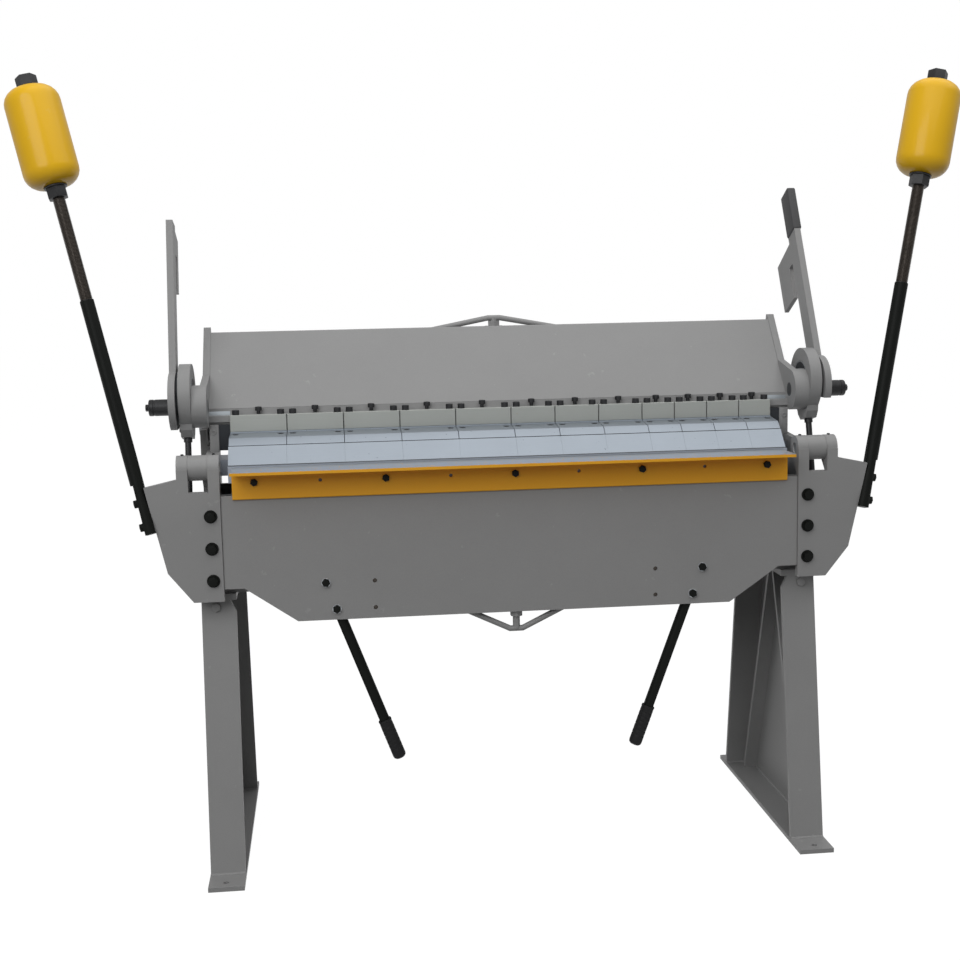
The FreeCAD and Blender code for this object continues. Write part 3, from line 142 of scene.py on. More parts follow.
class Bench:
    """The node tree of one material, to which nodes are added one by one."""

    def __init__(self, owner: Union[bpy.types.Material, bpy.types.World]) -> None:
        """Start from an empty tree.

        Args:
            owner: the material or world.
        """
        owner.use_nodes = True
        self.tree = owner.node_tree
        self.tree.nodes.clear()

    def node(
        self, kind: str, values: Optional[dict] = None, result: Union[int, str] = 0,
        **settings: str,
    ) -> Optional[Level]:
        """Add any node.

        Args:
            kind: the node's type.
            values: a number, a colour or a level for each of its sockets.
            result: the number or name of the output that is wanted.
            settings: its settings.

        Returns:
            That output, or nothing where the node has none.
        """
        made = self.tree.nodes.new(kind)
        for key, value in settings.items():
            setattr(made, key, value)
        for key, value in (values or {}).items():
            if isinstance(value, Level):
                self.tree.links.new(value.socket, made.inputs[key])
            else:
                made.inputs[key].default_value = value
        return Level(self, made.outputs[result]) if made.outputs else None

    def place(self) -> Level:
        """The point on the object, in metres."""
        return self.node("ShaderNodeTexCoord", result="Object")

    def axis(self, name: str) -> Level:
        """The point's X, Y or Z, in metres."""
        return self.node("ShaderNodeSeparateXYZ", {0: self.place()}, name)

    def noise(self, scale: float, detail: float, stretch: Optional[Triple] = None) -> Level:
        """A noise over the surface.

        Args:
            scale: how many waves there are in a metre.
            detail: how many finer octaves it has.
            stretch: a further scale for each direction.

        Returns:
            The noise, from nought to one.
        """
        point = self.place()
        if stretch is not None:
            point = self.node("ShaderNodeMapping", {"Vector": point, "Scale": stretch})
        values = {"Vector": point, "Scale": scale, "Detail": detail, "Roughness": NOISE_ROUGHNESS}
        return self.node("ShaderNodeTexNoise", values)

    def bump(self, strength: float, depth: float, height: Level) -> Level:
        """The normal of a fine relief, of that strength and depth in metres."""
        values = {"Strength": strength, "Distance": depth, "Height": height}
        return self.node("ShaderNodeBump", values)

    def blend(self, share: Term, low: Union[Level, Colour], high: Union[Level, Colour]) -> Level:
        """A colour between two others.

        Args:
            share: nought for the low colour and one for the high one.
            low: one colour.
            high: the other colour.

        Returns:
            The mixed colour.
        """
        values = {0: share}
        for key, colour in zip(MIX_COLOURS, (low, high)):
            values[key] = colour if isinstance(colour, Level) else (*colour, 1.0)
        return self.node("ShaderNodeMix", values, MIX_RESULT, data_type="RGBA")

    def finish(self, **values: Union[Level, float]) -> None:
        """Add the surface shader.

        Args:
            values: its sockets by name, with an underscore for a space.
        """
        named = {key.replace("_", " "): value for key, value in values.items()}
        shader = self.node("ShaderNodeBsdfPrincipled", named)
        self.node("ShaderNodeOutputMaterial", {"Surface": shader})


def toned(colour: Colour, factor: float) -> Colour:
    """A colour made darker or paler by a factor, and no paler than white."""
    return tuple(min(1.0, part * factor) for part in colour)


class Finish:
    """A surface finish, whose material is made once and shared."""

    name: str

    @cache
    def material(self) -> bpy.types.Material:
        """The finish as a Blender material.

        Returns:
            The material.
        """
        material = bpy.data.materials.new(self.name)
        self.lay(Bench(material))
        return material

    def lay(self, bench: Bench) -> None:
        """Add the nodes of this finish."""
        raise NotImplementedError


@dataclass(frozen=True)
class Paint(Finish):
    """Baked paint with a fine skin, a slight mottle and rubbed spots."""

    name: str
    colour: Colour
    rubbed: Colour
    skin: float
    mottle: float
    roughness: float = 0.5
    gloss: float = 0.0
    shine: float = 0.5

    def lay(self, bench: Bench) -> None:
        """Add the nodes of this finish.

        Args:
            bench: the node tree.
        """
        cloud = bench.noise(7.0, 4.0)
        speck = bench.noise(SPECK_SCALE, 2.0)
        scuff = bench.noise(38.0, 6.0).above(0.69) * bench.noise(240.0, 2.0)
        deep = toned(self.colour, 1.0 - 0.22 * self.mottle)
        pale = toned(self.colour, 1.0 + 0.16 * self.mottle)
        base = bench.blend(cloud * 0.55 + speck * 0.45, deep, pale)
        bench.finish(
            Base_Color=bench.blend(scuff * 0.5, base, self.rubbed),
            Roughness=self.roughness + (cloud - 0.5) * 0.18,
            Specular_IOR_Level=self.shine,
            Coat_Weight=self.gloss,
            Coat_Roughness=0.12,
            Normal=bench.bump(self.skin, 0.0006, bench.noise(700.0, 2.0)),
        )


@dataclass(frozen=True)
class Steel(Finish):
    """Bare steel with its grinding or turning marks and a little staining.

    Below the height of its foot, in metres, it is darkened: painted shade for the contact shadow
    along its lowest edge.
    """

    name: str
    colour: Colour
    stain_and_shade: Colour
    roughness: float
    metal: float
    grain: Grain
    foot: float = 0.0

    def lay(self, bench: Bench) -> None:
        """Add the nodes of this finish.

        Args:
            bench: the node tree.
        """
        marks = bench.noise(1.0, 4.0, self.grain.value)
        cloud = bench.noise(11.0, 5.0)
        spots = bench.noise(130.0, 4.0).above(0.7)
        tone = marks * 0.5 + cloud * 0.5
        base = bench.blend(tone, toned(self.colour, 0.86), toned(self.colour, 1.12))
        # Painted shade: below the foot's height the colour is darkened for a contact shadow.
        if self.foot:
            base = bench.blend(bench.axis("Z").below(self.foot) * 0.9, base, self.stain_and_shade)
        bench.finish(
            Base_Color=bench.blend(spots * cloud * 0.7, base, self.stain_and_shade),
            Metallic=self.metal,
            Roughness=self.roughness + (marks - 0.5) * 0.2 + spots * 0.1,
            Normal=bench.bump(0.12, 0.0003, marks),
        )


@dataclass(frozen=True)
class Blacking(Finish):
    """Blacked steel, clouded with a paler tone."""

    name: str
    colour: Colour
    tone: Colour
    roughness: float = 0.42
    metal: float = 0.35
    shine: float = 0.5

    def lay(self, bench: Bench) -> None:
        """Add the nodes of this finish.

        Args:
            bench: the node tree.
        """
        cloud = bench.noise(24.0, 5.0)
        fine = bench.noise(330.0, 3.0)
        bench.finish(
            Base_Color=bench.blend(cloud * 0.7 + fine * 0.3, self.colour, self.tone),
            Metallic=self.metal,
            Specular_IOR_Level=self.shine,
            Roughness=self.roughness + (fine - 0.5) * 0.25,
            Normal=bench.bump(0.2, 0.0004, fine),
        )


@dataclass(frozen=True)
class Moulding(Finish):
    """Matt moulded plastic with a leathery skin."""

    name: str
    colour: Colour
    roughness: float = 0.62
    shine: float = 0.5

    def lay(self, bench: Bench) -> None:
        """Add the nodes of this finish.

        Args:
            bench: the node tree.
        """
        skin = bench.noise(520.0, 4.0)
        cloud = bench.noise(18.0, 3.0)
        bench.finish(
            Base_Color=bench.blend(cloud * 0.6 + skin * 0.3, self.colour, toned(self.colour, 1.7)),
            Specular_IOR_Level=self.shine,
            Roughness=self.roughness + (skin - 0.5) * 0.2,
            Normal=bench.bump(0.35, 0.0005, skin),
        )


@dataclass(frozen=True)
class BandedPaint(Finish):
    """Paint with a band of bare milled steel between two heights, in metres.

    The band shows only farther from the middle than `beyond`, and its edge is ragged by
    `chips`. Above the last of the heights the paint is darkened as painted shade, the shadow of the
    joint over it.
    """

    name: str
    colour: Colour
    steel: Colour
    low: float
    high: float
    chips: float = 0.0
    beyond: float = 0.0
    painted_shade_from: float = 9.0

    def lay(self, bench: Bench) -> None:
        """Add the nodes of this finish.

        Args:
            bench: the node tree.
        """
        height = bench.axis("Z") + (bench.noise(160.0, 4.0) - 0.5) * self.chips
        across = bench.axis("X")
        outside = (across * across).above(self.beyond**2)
        band = height.above(self.low) * height.below(self.high) * outside
        marks = bench.noise(1.0, 4.0, Grain.ALONG_X.value)
        speck = bench.noise(SPECK_SCALE, 2.0)
        paint = bench.blend(speck, toned(self.colour, 0.9), self.colour)
        # Painted shade: above that height the paint is darkened for the shadow of the joint over
        # it.
        paint = bench.blend(height.above(self.painted_shade_from), paint, toned(self.colour, 0.4))
        bare = bench.blend(marks, toned(self.steel, 0.8), self.steel)
        bench.finish(
            Base_Color=bench.blend(band, paint, bare),
            Metallic=band * 0.8,
            Roughness=0.5 - band * 0.12 + (marks - 0.5) * 0.15,
            Normal=bench.bump(0.15, 0.0004, speck),
        )


GREY = Paint("grey_paint", (0.300, 0.300, 0.300), (0.46, 0.46, 0.46), skin=0.22, mottle=0.7)
ENAMEL = Paint(
    "yellow_enamel", (0.93, 0.53, 0.004), (0.92, 0.60, 0.08),
    skin=0.03, mottle=0.2, roughness=0.38, gloss=0.2, shine=0.25,
)
YELLOW = BandedPaint(
    "yellow_satin", (0.97, 0.46, 0.016), (0.50, 0.55, 0.63), low=0.9012, high=1.0, chips=0.0014,
)
# The ledge's painted shade starts at 1.0172 m, under the foot of the hood.
BANDED = BandedPaint(
    "banded_ledge", (0.34, 0.34, 0.34), (0.55, 0.60, 0.64),
    low=1.0027, high=1.0115, beyond=0.6225, painted_shade_from=1.0172,
)
# Below 0.9056 m the ground steel is darkened: painted shade for the contact shadow where the noses
# meet the bed.
GROUND = Steel(
    "ground_steel", (0.295, 0.330, 0.372), (0.05, 0.05, 0.05), 0.42, 0.7, Grain.ALONG_X, 0.9056,
)
PLATED = Steel("plated_steel", (0.37, 0.385, 0.365), (0.36, 0.30, 0.18), 0.44, 0.55, Grain.ALONG_X)
BED = Steel("bed_steel", (0.33, 0.36, 0.41), (0.20, 0.17, 0.15), 0.40, 0.7, Grain.ALONG_X)
TURNED = Steel("turned_steel", (0.40, 0.42, 0.44), (0.22, 0.18, 0.15), 0.38, 0.85, Grain.CROSSED)
BLACK = Blacking("blacked_steel", (0.010, 0.011, 0.013), (0.026, 0.026, 0.028))
TUBE = Blacking("blacked_tube", (0.004, 0.005, 0.004), (0.010, 0.011, 0.010), 0.5, 0.2, 0.12)
THREAD = Blacking("blacked_thread", (0.026, 0.023, 0.020), (0.120, 0.100, 0.084), 0.38, 0.55)
BAR = Blacking("blacked_bar", (0.012, 0.014, 0.018), (0.035, 0.040, 0.048), 0.35, 0.5)
GRIP = Moulding("black_grip", (0.006, 0.006, 0.0065), shine=0.25)
SLEEVE = Moulding("grey_grip", (0.040, 0.040, 0.042))

# The CAD nodes that aren't grey, with their finishes.
NODE_FINISH: dict[str, Finish] = {
    "wear_angle": YELLOW, "ledge_plate": BANDED, "bed_plate": BED, "apron_bar": TURNED,
    "hinge_pins": TURNED, "pivot_pins": TURNED, "cam_shaft_left": BAR, "cam_shaft_right": BAR,
    "finger_bar": BAR, "counterweight_tubes": TUBE, "handle_rods": TUBE,
    "link_rod_left": BLACK, "link_rod_right": BLACK,
}


# Mesh making


def linked(name: str, data: bpy.types.ID) -> bpy.types.Object:
    """Make an object and link it to the scene.

    Args:
        name: its name.
        data: its mesh, lamp or camera.

    Returns:
        The object.
    """
    made = bpy.data.objects.new(name, data)
    bpy.context.scene.collection.objects.link(made)
    return made


class Shape:
    """A mesh in the making, in millimetres."""

    def __init__(self) -> None:
        """Start empty."""
        self.mesh = bmesh.new()

    def loop(self, points: Iterable[Vector]) -> "Shape":
        """One flat face from its corners."""
        self.mesh.faces.new([self.mesh.verts.new(point) for point in points])
        return self

    def extrude(self, run: Vector) -> "Shape":
        """Draw every face out along a run and close the solid.

        Args:
            run: how far, and which way.

        Returns:
            This shape.
        """
        made = bmesh.ops.extrude_face_region(self.mesh, geom=self.mesh.faces[:])
        moved = [item for item in made["geom"] if isinstance(item, bmesh.types.BMVert)]
        bmesh.ops.translate(self.mesh, vec=run, verts=moved)
        return self.outwards()

    def wind(self, outline: Sequence[Pair], steps: int, turns: int = 1, rise: float = 0.0) -> None:
        """Sweep an open (radius, length) outline round Z.

        Args:
            outline: the outline.
            steps: how many facets one turn has.
            turns: how many turns it makes.
            rise: how far each facet climbs.
        """
        verts = [self.mesh.verts.new((radius, 0.0, length)) for radius, length in outline]
        edges = [self.mesh.edges.new(pair) for pair in zip(verts, verts[1:])]
        bmesh.ops.spin(
            self.mesh, geom=verts + edges, cent=(0, 0, 0), axis=(0, 0, 1), dvec=(0, 0, rise),
            angle=2 * math.pi * turns, steps=steps * turns, use_merge=not rise,
        )

    def lathe(self, outline: Sequence[Pair], steps: int) -> "Shape":
        """Turn an open (radius, length) outline about Z into a closed piece.

        Args:
            outline: the outline, which starts and ends on the axis or meets itself.
            steps: how many facets go round.

        Returns:
            This shape.
        """
        self.wind(outline, steps)
        bmesh.ops.remove_doubles(self.mesh, verts=self.mesh.verts[:], dist=MERGE)
        return self.outwards()

    def outwards(self) -> "Shape":
        """Turn every face outwards."""
        bmesh.ops.recalc_face_normals(self.mesh, faces=self.mesh.faces[:])
        return self

    def bevel(self, edges: list[bmesh.types.BMEdge], width: float, segments: int = 2) -> "Shape":
        """Round some edges.

        Args:
            edges: the edges.
            width: how far the rounding reaches.
            segments: how many facets it has.

        Returns:
            This shape.
        """
        bmesh.ops.bevel(
            self.mesh, geom=edges, offset=width, segments=segments, profile=0.5,
            affect="EDGES", clamp_overlap=True, material=-1,
        )
        return self

    def ease(self, width: float, segments: int = 2) -> "Shape":
        """Round every sharp edge.

        Args:
            width: how far the rounding reaches.
            segments: how many facets it has.

        Returns:
            This shape.
        """
        limit = math.radians(EASED_ANGLE)
        sharp = [edge for edge in self.mesh.edges if edge.calc_face_angle(0.0) > limit]
        return self.bevel(sharp, width, segments)

    def set_at(self, start: Vector, along: Vector, turn: float = 0.0) -> "Shape":
        """Carry the shape from the origin to its place.

        Args:
            start: where its origin goes.
            along: where its Z axis points.
            turn: a turn about its own axis first, in degrees.

        Returns:
            This shape.
        """
        aim = along.to_track_quat("Z", "Y").to_matrix().to_4x4()
        matrix = Matrix.Translation(start) @ aim @ Matrix.Rotation(math.radians(turn), 4, "Z")
        bmesh.ops.transform(self.mesh, matrix=matrix, verts=self.mesh.verts[:])
        return self

    def add(self, other: "Shape") -> "Shape":
        """Take another shape's mesh into this one.

        Args:
            other: the other shape, which is used up.

        Returns:
            This shape.
        """
        data = bpy.data.meshes.new("joined")
        other.mesh.to_mesh(data)
        other.mesh.free()
        self.mesh.from_mesh(data)
        bpy.data.meshes.remove(data)
        return self

    def mirrored(self, side: Side) -> "Shape":
        """Carry the shape to the other end of the machine where the side asks for it.

        Args:
            side: the side where it goes.

        Returns:
            This shape.
        """
        if side is Side.LEFT:
            bmesh.ops.scale(self.mesh, vec=(-1, 1, 1), verts=self.mesh.verts[:])
            self.outwards()
        return self

    def to_object(self, name: str) -> bpy.types.Object:
        """Make the object, in metres and linked to the scene.

        Args:
            name: its name.

        Returns:
            The object.
        """
        bmesh.ops.scale(self.mesh, vec=(MM, MM, MM), verts=self.mesh.verts[:])
        for face in self.mesh.faces:
            face.smooth = True
        data = bpy.data.meshes.new(name)
        self.mesh.to_mesh(data)
        self.mesh.free()
        data.set_sharp_from_angle(angle=math.radians(SMOOTH_ANGLE))
        return linked(name, data)


def at(x: float, y: float, z: float) -> Vector:
    """A point whose y is counted from the hinge line."""
    return Vector((x, y + HINGE_Y, z))


def turned(outline: Sequence[Pair], start: Vector, along: Vector, steps: int) -> Shape:
    """A turned piece from its (radius, length) outline, in its place."""
    return Shape().lathe(outline, steps).set_at(start, along)


def hexagon(radius: float, length: float, start: Vector, along: Vector, turn: float = 0.0) -> Shape:
    """A hexagon head or nut with its corners taken off.

    Args:
        radius: the corner radius.
        length: its height.
        start: the middle of its seat.
        along: the direction of its height.
        turn: a turn about that direction, in degrees.

    Returns:
        The shape.
    """
    shape = Shape()
    bmesh.ops.create_circle(shape.mesh, cap_ends=True, radius=radius, segments=6)
    shape.extrude(UP * length)
    top = length - 0.01
    rim = [edge for edge in shape.mesh.edges if min(vert.co.z for vert in edge.verts) > top]
    return shape.bevel(rim, radius * 0.1).set_at(start, along, turn)


def socket_head(
    radius: float, length: float, start: Vector, along: Vector, neck: Pair = (0.0, 0.0),
) -> Shape:
    """A socket cap screw head with knurled side and six-sided recess.

    Args:
        radius: the head's radius.
        length: the head's height.
        start: the middle of its seat.
        along: the direction of its height.
        neck: the radius and length of the bare shank under the head.

    Returns:
        The shape.
    """
    low, top = neck[1], neck[1] + length
    recess, floor = radius * 0.52, top - length * 0.55
    outline = [(0.0, 0.0)]
    if low:
        outline += [(neck[0], 0.0), neck]
    outline += [
        (radius, low), (radius, top - 1.0), (radius - 1.0, top), (recess, top), (recess, floor),
        (0.0, floor),
    ]
    shape = Shape().lathe(outline, 36)
    knurl = 1.0 - 0.45 / radius
    for vert in shape.mesh.verts:
        facet = round(math.degrees(math.atan2(vert.co.y, vert.co.x)) / 10)
        if vert.co.xy.length > radius - 0.1 and facet % 2:
            vert.co.x *= knurl
            vert.co.y *= knurl
    flat = recess * 0.84
    ring = [(flat, floor), (flat, top - 0.6), (recess, top - 0.2), (recess, floor)]
    shape.add(Shape().lathe(ring + ring[:1], 6))
    return shape.set_at(start, along)


def washer(inner: float, outer: float, thick: float, start: Vector, along: Vector) -> Shape:
    """A plain washer with eased rims.

    Args:
        inner: the radius of its hole.
        outer: its radius.
        thick: its thickness.
        start: the middle of its seat.
        along: the direction of its thickness.

    Returns:
        The shape.
    """
    ease = thick * 0.25
    outline = [
        (inner, 0.0), (outer - ease, 0.0), (outer, ease), (outer, thick - ease),
        (outer - ease, thick), (inner, thick), (inner, 0.0),
    ]
    return turned(outline, start, along, 40)


def bolted(bore: float, ring: Pair, head: Pair, seat: Vector, way: Vector, turn: float) -> Shape:
    """A hexagon (radius, height), turned by some degrees, on its washer (radius, thickness)."""
    shape = washer(bore, *ring, seat, way)
    return shape.add(hexagon(*head, seat + way * ring[1], way, turn))


def thread(radius: float, length: float, pitch: float, start: Vector, along: Vector) -> Shape:
    """A threaded rod: a core with a ridge wound round it.

    Args:
        radius: the outer radius.
        length: the length.
        pitch: the rise in one turn.
        start: the middle of its lower end.
        along: the direction of its length.

    Returns:
        The shape.
    """
    root = radius - 0.55 * pitch
    foot = root - 0.1
    shape = Shape().lathe([(0.0, 0.0), (root, 0.0), (root, length), (0.0, length)], 20)
    corners = [(foot, 0.0), (radius, 0.42 * pitch), (radius, 0.55 * pitch), (foot, 0.97 * pitch)]
    ridge = Shape()
    ridge.wind(corners, RIDGE_STEPS, int((length - pitch) / pitch), pitch / RIDGE_STEPS)
    return shape.add(ridge.outwards()).set_at(start, along)


def weld(start: Vector, end: Vector, radius: float) -> Shape:
    """A weld bead laid along a corner, with the ripple of its runs.

    Args:
        start: one end of the bead.
        end: its other end.
        radius: its size.

    Returns:
        The shape.
    """
    run = end - start
    count = max(4, int(run.length / BEAD_STEP))
    outline = [(0.0, 0.0)]
    for step in range(count + 1):
        ripple = 1.0 + 0.12 * math.sin(step * 2.1) + 0.07 * math.sin(step * 0.73)
        outline.append((radius * ripple, run.length * (0.2 + step) / (count + 0.4)))
    outline.append((0.0, run.length))
    return Shape().lathe(outline, 10).set_at(start, run)


def both(make: Callable[[], Shape]) -> Shape:
    """The same shape at the two ends of the machine.

    Args:
        make: what makes the one at the right end.

    Returns:
        The two as one shape.
    """
    shape = Shape()
    for side in Side:
        shape.add(make().mirrored(side))
    return shape


def enter(made: bpy.types.Object, finish: Finish, body: str, *replaces: str) -> None:
    """Enter an object in the model.

    Args:
        made: the object.
        finish: its surface, which also gives the record's material slot.
        body: the body that it rides on.
        replaces: the CAD nodes that it stands for.
    """
    made.data.materials.clear()
    made.data.materials.append(finish.material())
    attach(made, body)
    if replaces:
        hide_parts(*replaces)
    log.info("%s: %d faces, rides on %s", made.name, len(made.data.polygons), body)


def show(shape: Shape, name: str, finish: Finish, body: str, *replaces: str) -> None:
    """Make a shape the object of that name, and enter it in the model."""
    enter(shape.to_object(name), finish, body, *replaces)


# The machine's sub-assemblies


@dataclass
class FingerRow:
    """The fingers of the beam, with their clamp blocks and screws."""

    widths: tuple[tuple[str, float, int], ...] = (
        ("wide", 127.0, 5), ("middle", 101.6, 3), ("narrow", 76.2, 4),
    )
    slit: float = 1.0
    hairline: float = 0.16
    block_gap: float = 1.4
    nose_ease: float = 0.06
    body_ease: float = 0.35
    line_ease: float = 0.05
    block_ease: float = 0.9
    nose: Pair = (10.0, 904.4)
    nose_top: Pair = (47.5, 944.1)
    ledge_front: Pair = (65.0, 959.1)
    ledge_back: float = 965.1
    block_y: Pair = (121.0, 139.0)
    block_z: Pair = (967.1, 1004.6)
    relief: Pair = (60.0, 918.4)
    land: float = 46.0
    line: float = 1.1
    line_depth: float = 4.0
    bore: Pair = (7.6, 6.0)
    bore_y: float = 103.0
    inset: float = 13.5
    crisp: float = 20.0
    block_screw: Pair = (8.0, 11.0)
    ledge_screw: Pair = (5.6, 4.5)
    jack: Pair = (147.0, 1002.6)
    jack_neck: Pair = (4.2, 9.0)
    jack_screw: Pair = (7.5, 9.0)

    def half(self) -> float:
        """Half the length of the whole row."""
        return sum(width * count for _, width, count in self.widths) / 2

    def spans(self) -> dict[str, list[Pair]]:
        """The left and right X of each finger, by width.

        Returns:
            The pairs of X by the label of the width.
        """
        edge = -self.half()
        found: dict[str, list[Pair]] = {}
        for label, width, count in self.widths:
            sides = [edge + width * step for step in range(count + 1)]
            found[label] = list(zip(sides, sides[1:]))
            edge = sides[-1]
        return found

    def slab(self, section: Sequence[Pair], x0: float, x1: float, gap: float, ease: float) -> Shape:
        """A (y, z) section drawn from x0 to x1 less a gap, with its edges eased."""
        shape = Shape().loop(at(x0 + gap / 2, a, b) for a, b in section)
        return shape.extrude(OUT * (x1 - x0 - gap)).ease(ease, 1)

    def finger(self, x0: float, x1: float) -> Shape:
        """One finger, with a fine gap where its nose meets its body.

        Args:
            x0: its left side.
            x1: its right side.

        Returns:
            The shape.
        """
        (y, z), foot = self.nose_top, self.nose[1]
        (front, back), seat = self.block_y, self.block_z[0]
        nose = [self.nose, (y - self.line, z - self.line), (self.land - self.line, foot)]
        body = [
            (y + 0.3, z + 0.3), self.ledge_front, (front, self.ledge_back), (front, seat),
            (back, seat), (back, self.relief[1]), self.relief, (self.land, foot),
        ]
        shape = self.slab(nose, x0, x1, self.hairline, self.nose_ease)
        return shape.add(self.slab(body, x0, x1, self.slit, self.body_ease))

    def nose_gap_shade(self) -> Shape:
        """A dark strip in the gap between the noses and the bodies, all in one strip: painted shade
        standing for the shadow in that gap.

        Returns:
            The shape.
        """
        y, z = self.nose_top
        front, back, low = self.line - 0.15, y + 0.2, z - self.line_depth
        section = [(y - front, z - front), (back, z + 0.1), (back, low), (y - front, low)]
        return self.slab(section, -self.half(), self.half(), self.hairline, self.line_ease)

    def cut(self, whole: Shape, tools: Shape, name: str) -> bpy.types.Object:
        """Cut the tools out of a shape.

        Args:
            whole: the shape.
            tools: what is taken from it.
            name: the object's name.

        Returns:
            The object that is left.
        """
        made = whole.to_object(name)
        knife = tools.to_object(name + "_knife")
        cutter = made.modifiers.new("cut", "BOOLEAN")
        cutter.object = knife
        cutter.solver = "EXACT"
        evaluated = made.evaluated_get(bpy.context.evaluated_depsgraph_get())
        data = bpy.data.meshes.new_from_object(evaluated)
        made.modifiers.clear()
        made.data = data
        data.set_sharp_from_angle(angle=math.radians(self.crisp))
        bpy.data.objects.remove(knife)
        return made

    def build(self) -> None:
        """Build the fingers, blocks and screws of each width."""
        (front, back), (foot, top) = self.block_y, self.block_z
        section = [(front, foot), (front, top), (back, top), (back, foot)]
        radius, depth = self.bore
        bore = [(0.0, -depth), (radius, -depth), (radius, 2 * depth), (0.0, 2 * depth)]
        caps, deep, jacks = Shape(), Shape(), Shape()
        for label, spans in self.spans().items():
            whole, tools, blocks = Shape(), Shape(), Shape()
            for x0, x1 in spans:
                whole.add(self.finger(x0, x1))
                blocks.add(self.slab(section, x0, x1, self.block_gap, self.block_ease))
                for x in (x0 + self.inset, x1 - self.inset):
                    mouth = at(x, self.bore_y, self.ledge_back)
                    tools.add(turned(bore, mouth, UP, 28))
                    deep.add(socket_head(*self.ledge_screw, mouth - UP * (depth + 0.2), UP))
                    caps.add(socket_head(*self.block_screw, at(x, (front + back) / 2, top), UP))
                seat = at((x0 + x1) / 2, *self.jack)
                jacks.add(socket_head(*self.jack_screw, seat, UP, self.jack_neck))
            made = self.cut(whole, tools, "ground_fingers_" + label)
            enter(made, GROUND, "upper_beam", "fingers_" + label)
            show(blocks, "plated_blocks_" + label, PLATED, "upper_beam", "clamp_blocks_" + label)
        # The dark strip in the nose gap is painted shade.
        show(self.nose_gap_shade(), "nose_shade_strip", TUBE, "upper_beam")
        show(caps, "block_screws", BLACK, "upper_beam")
        show(deep, "ledge_screws", BLACK, "upper_beam")
        show(jacks, "jack_screw_caps", BLACK, "upper_beam", "jack_screws")


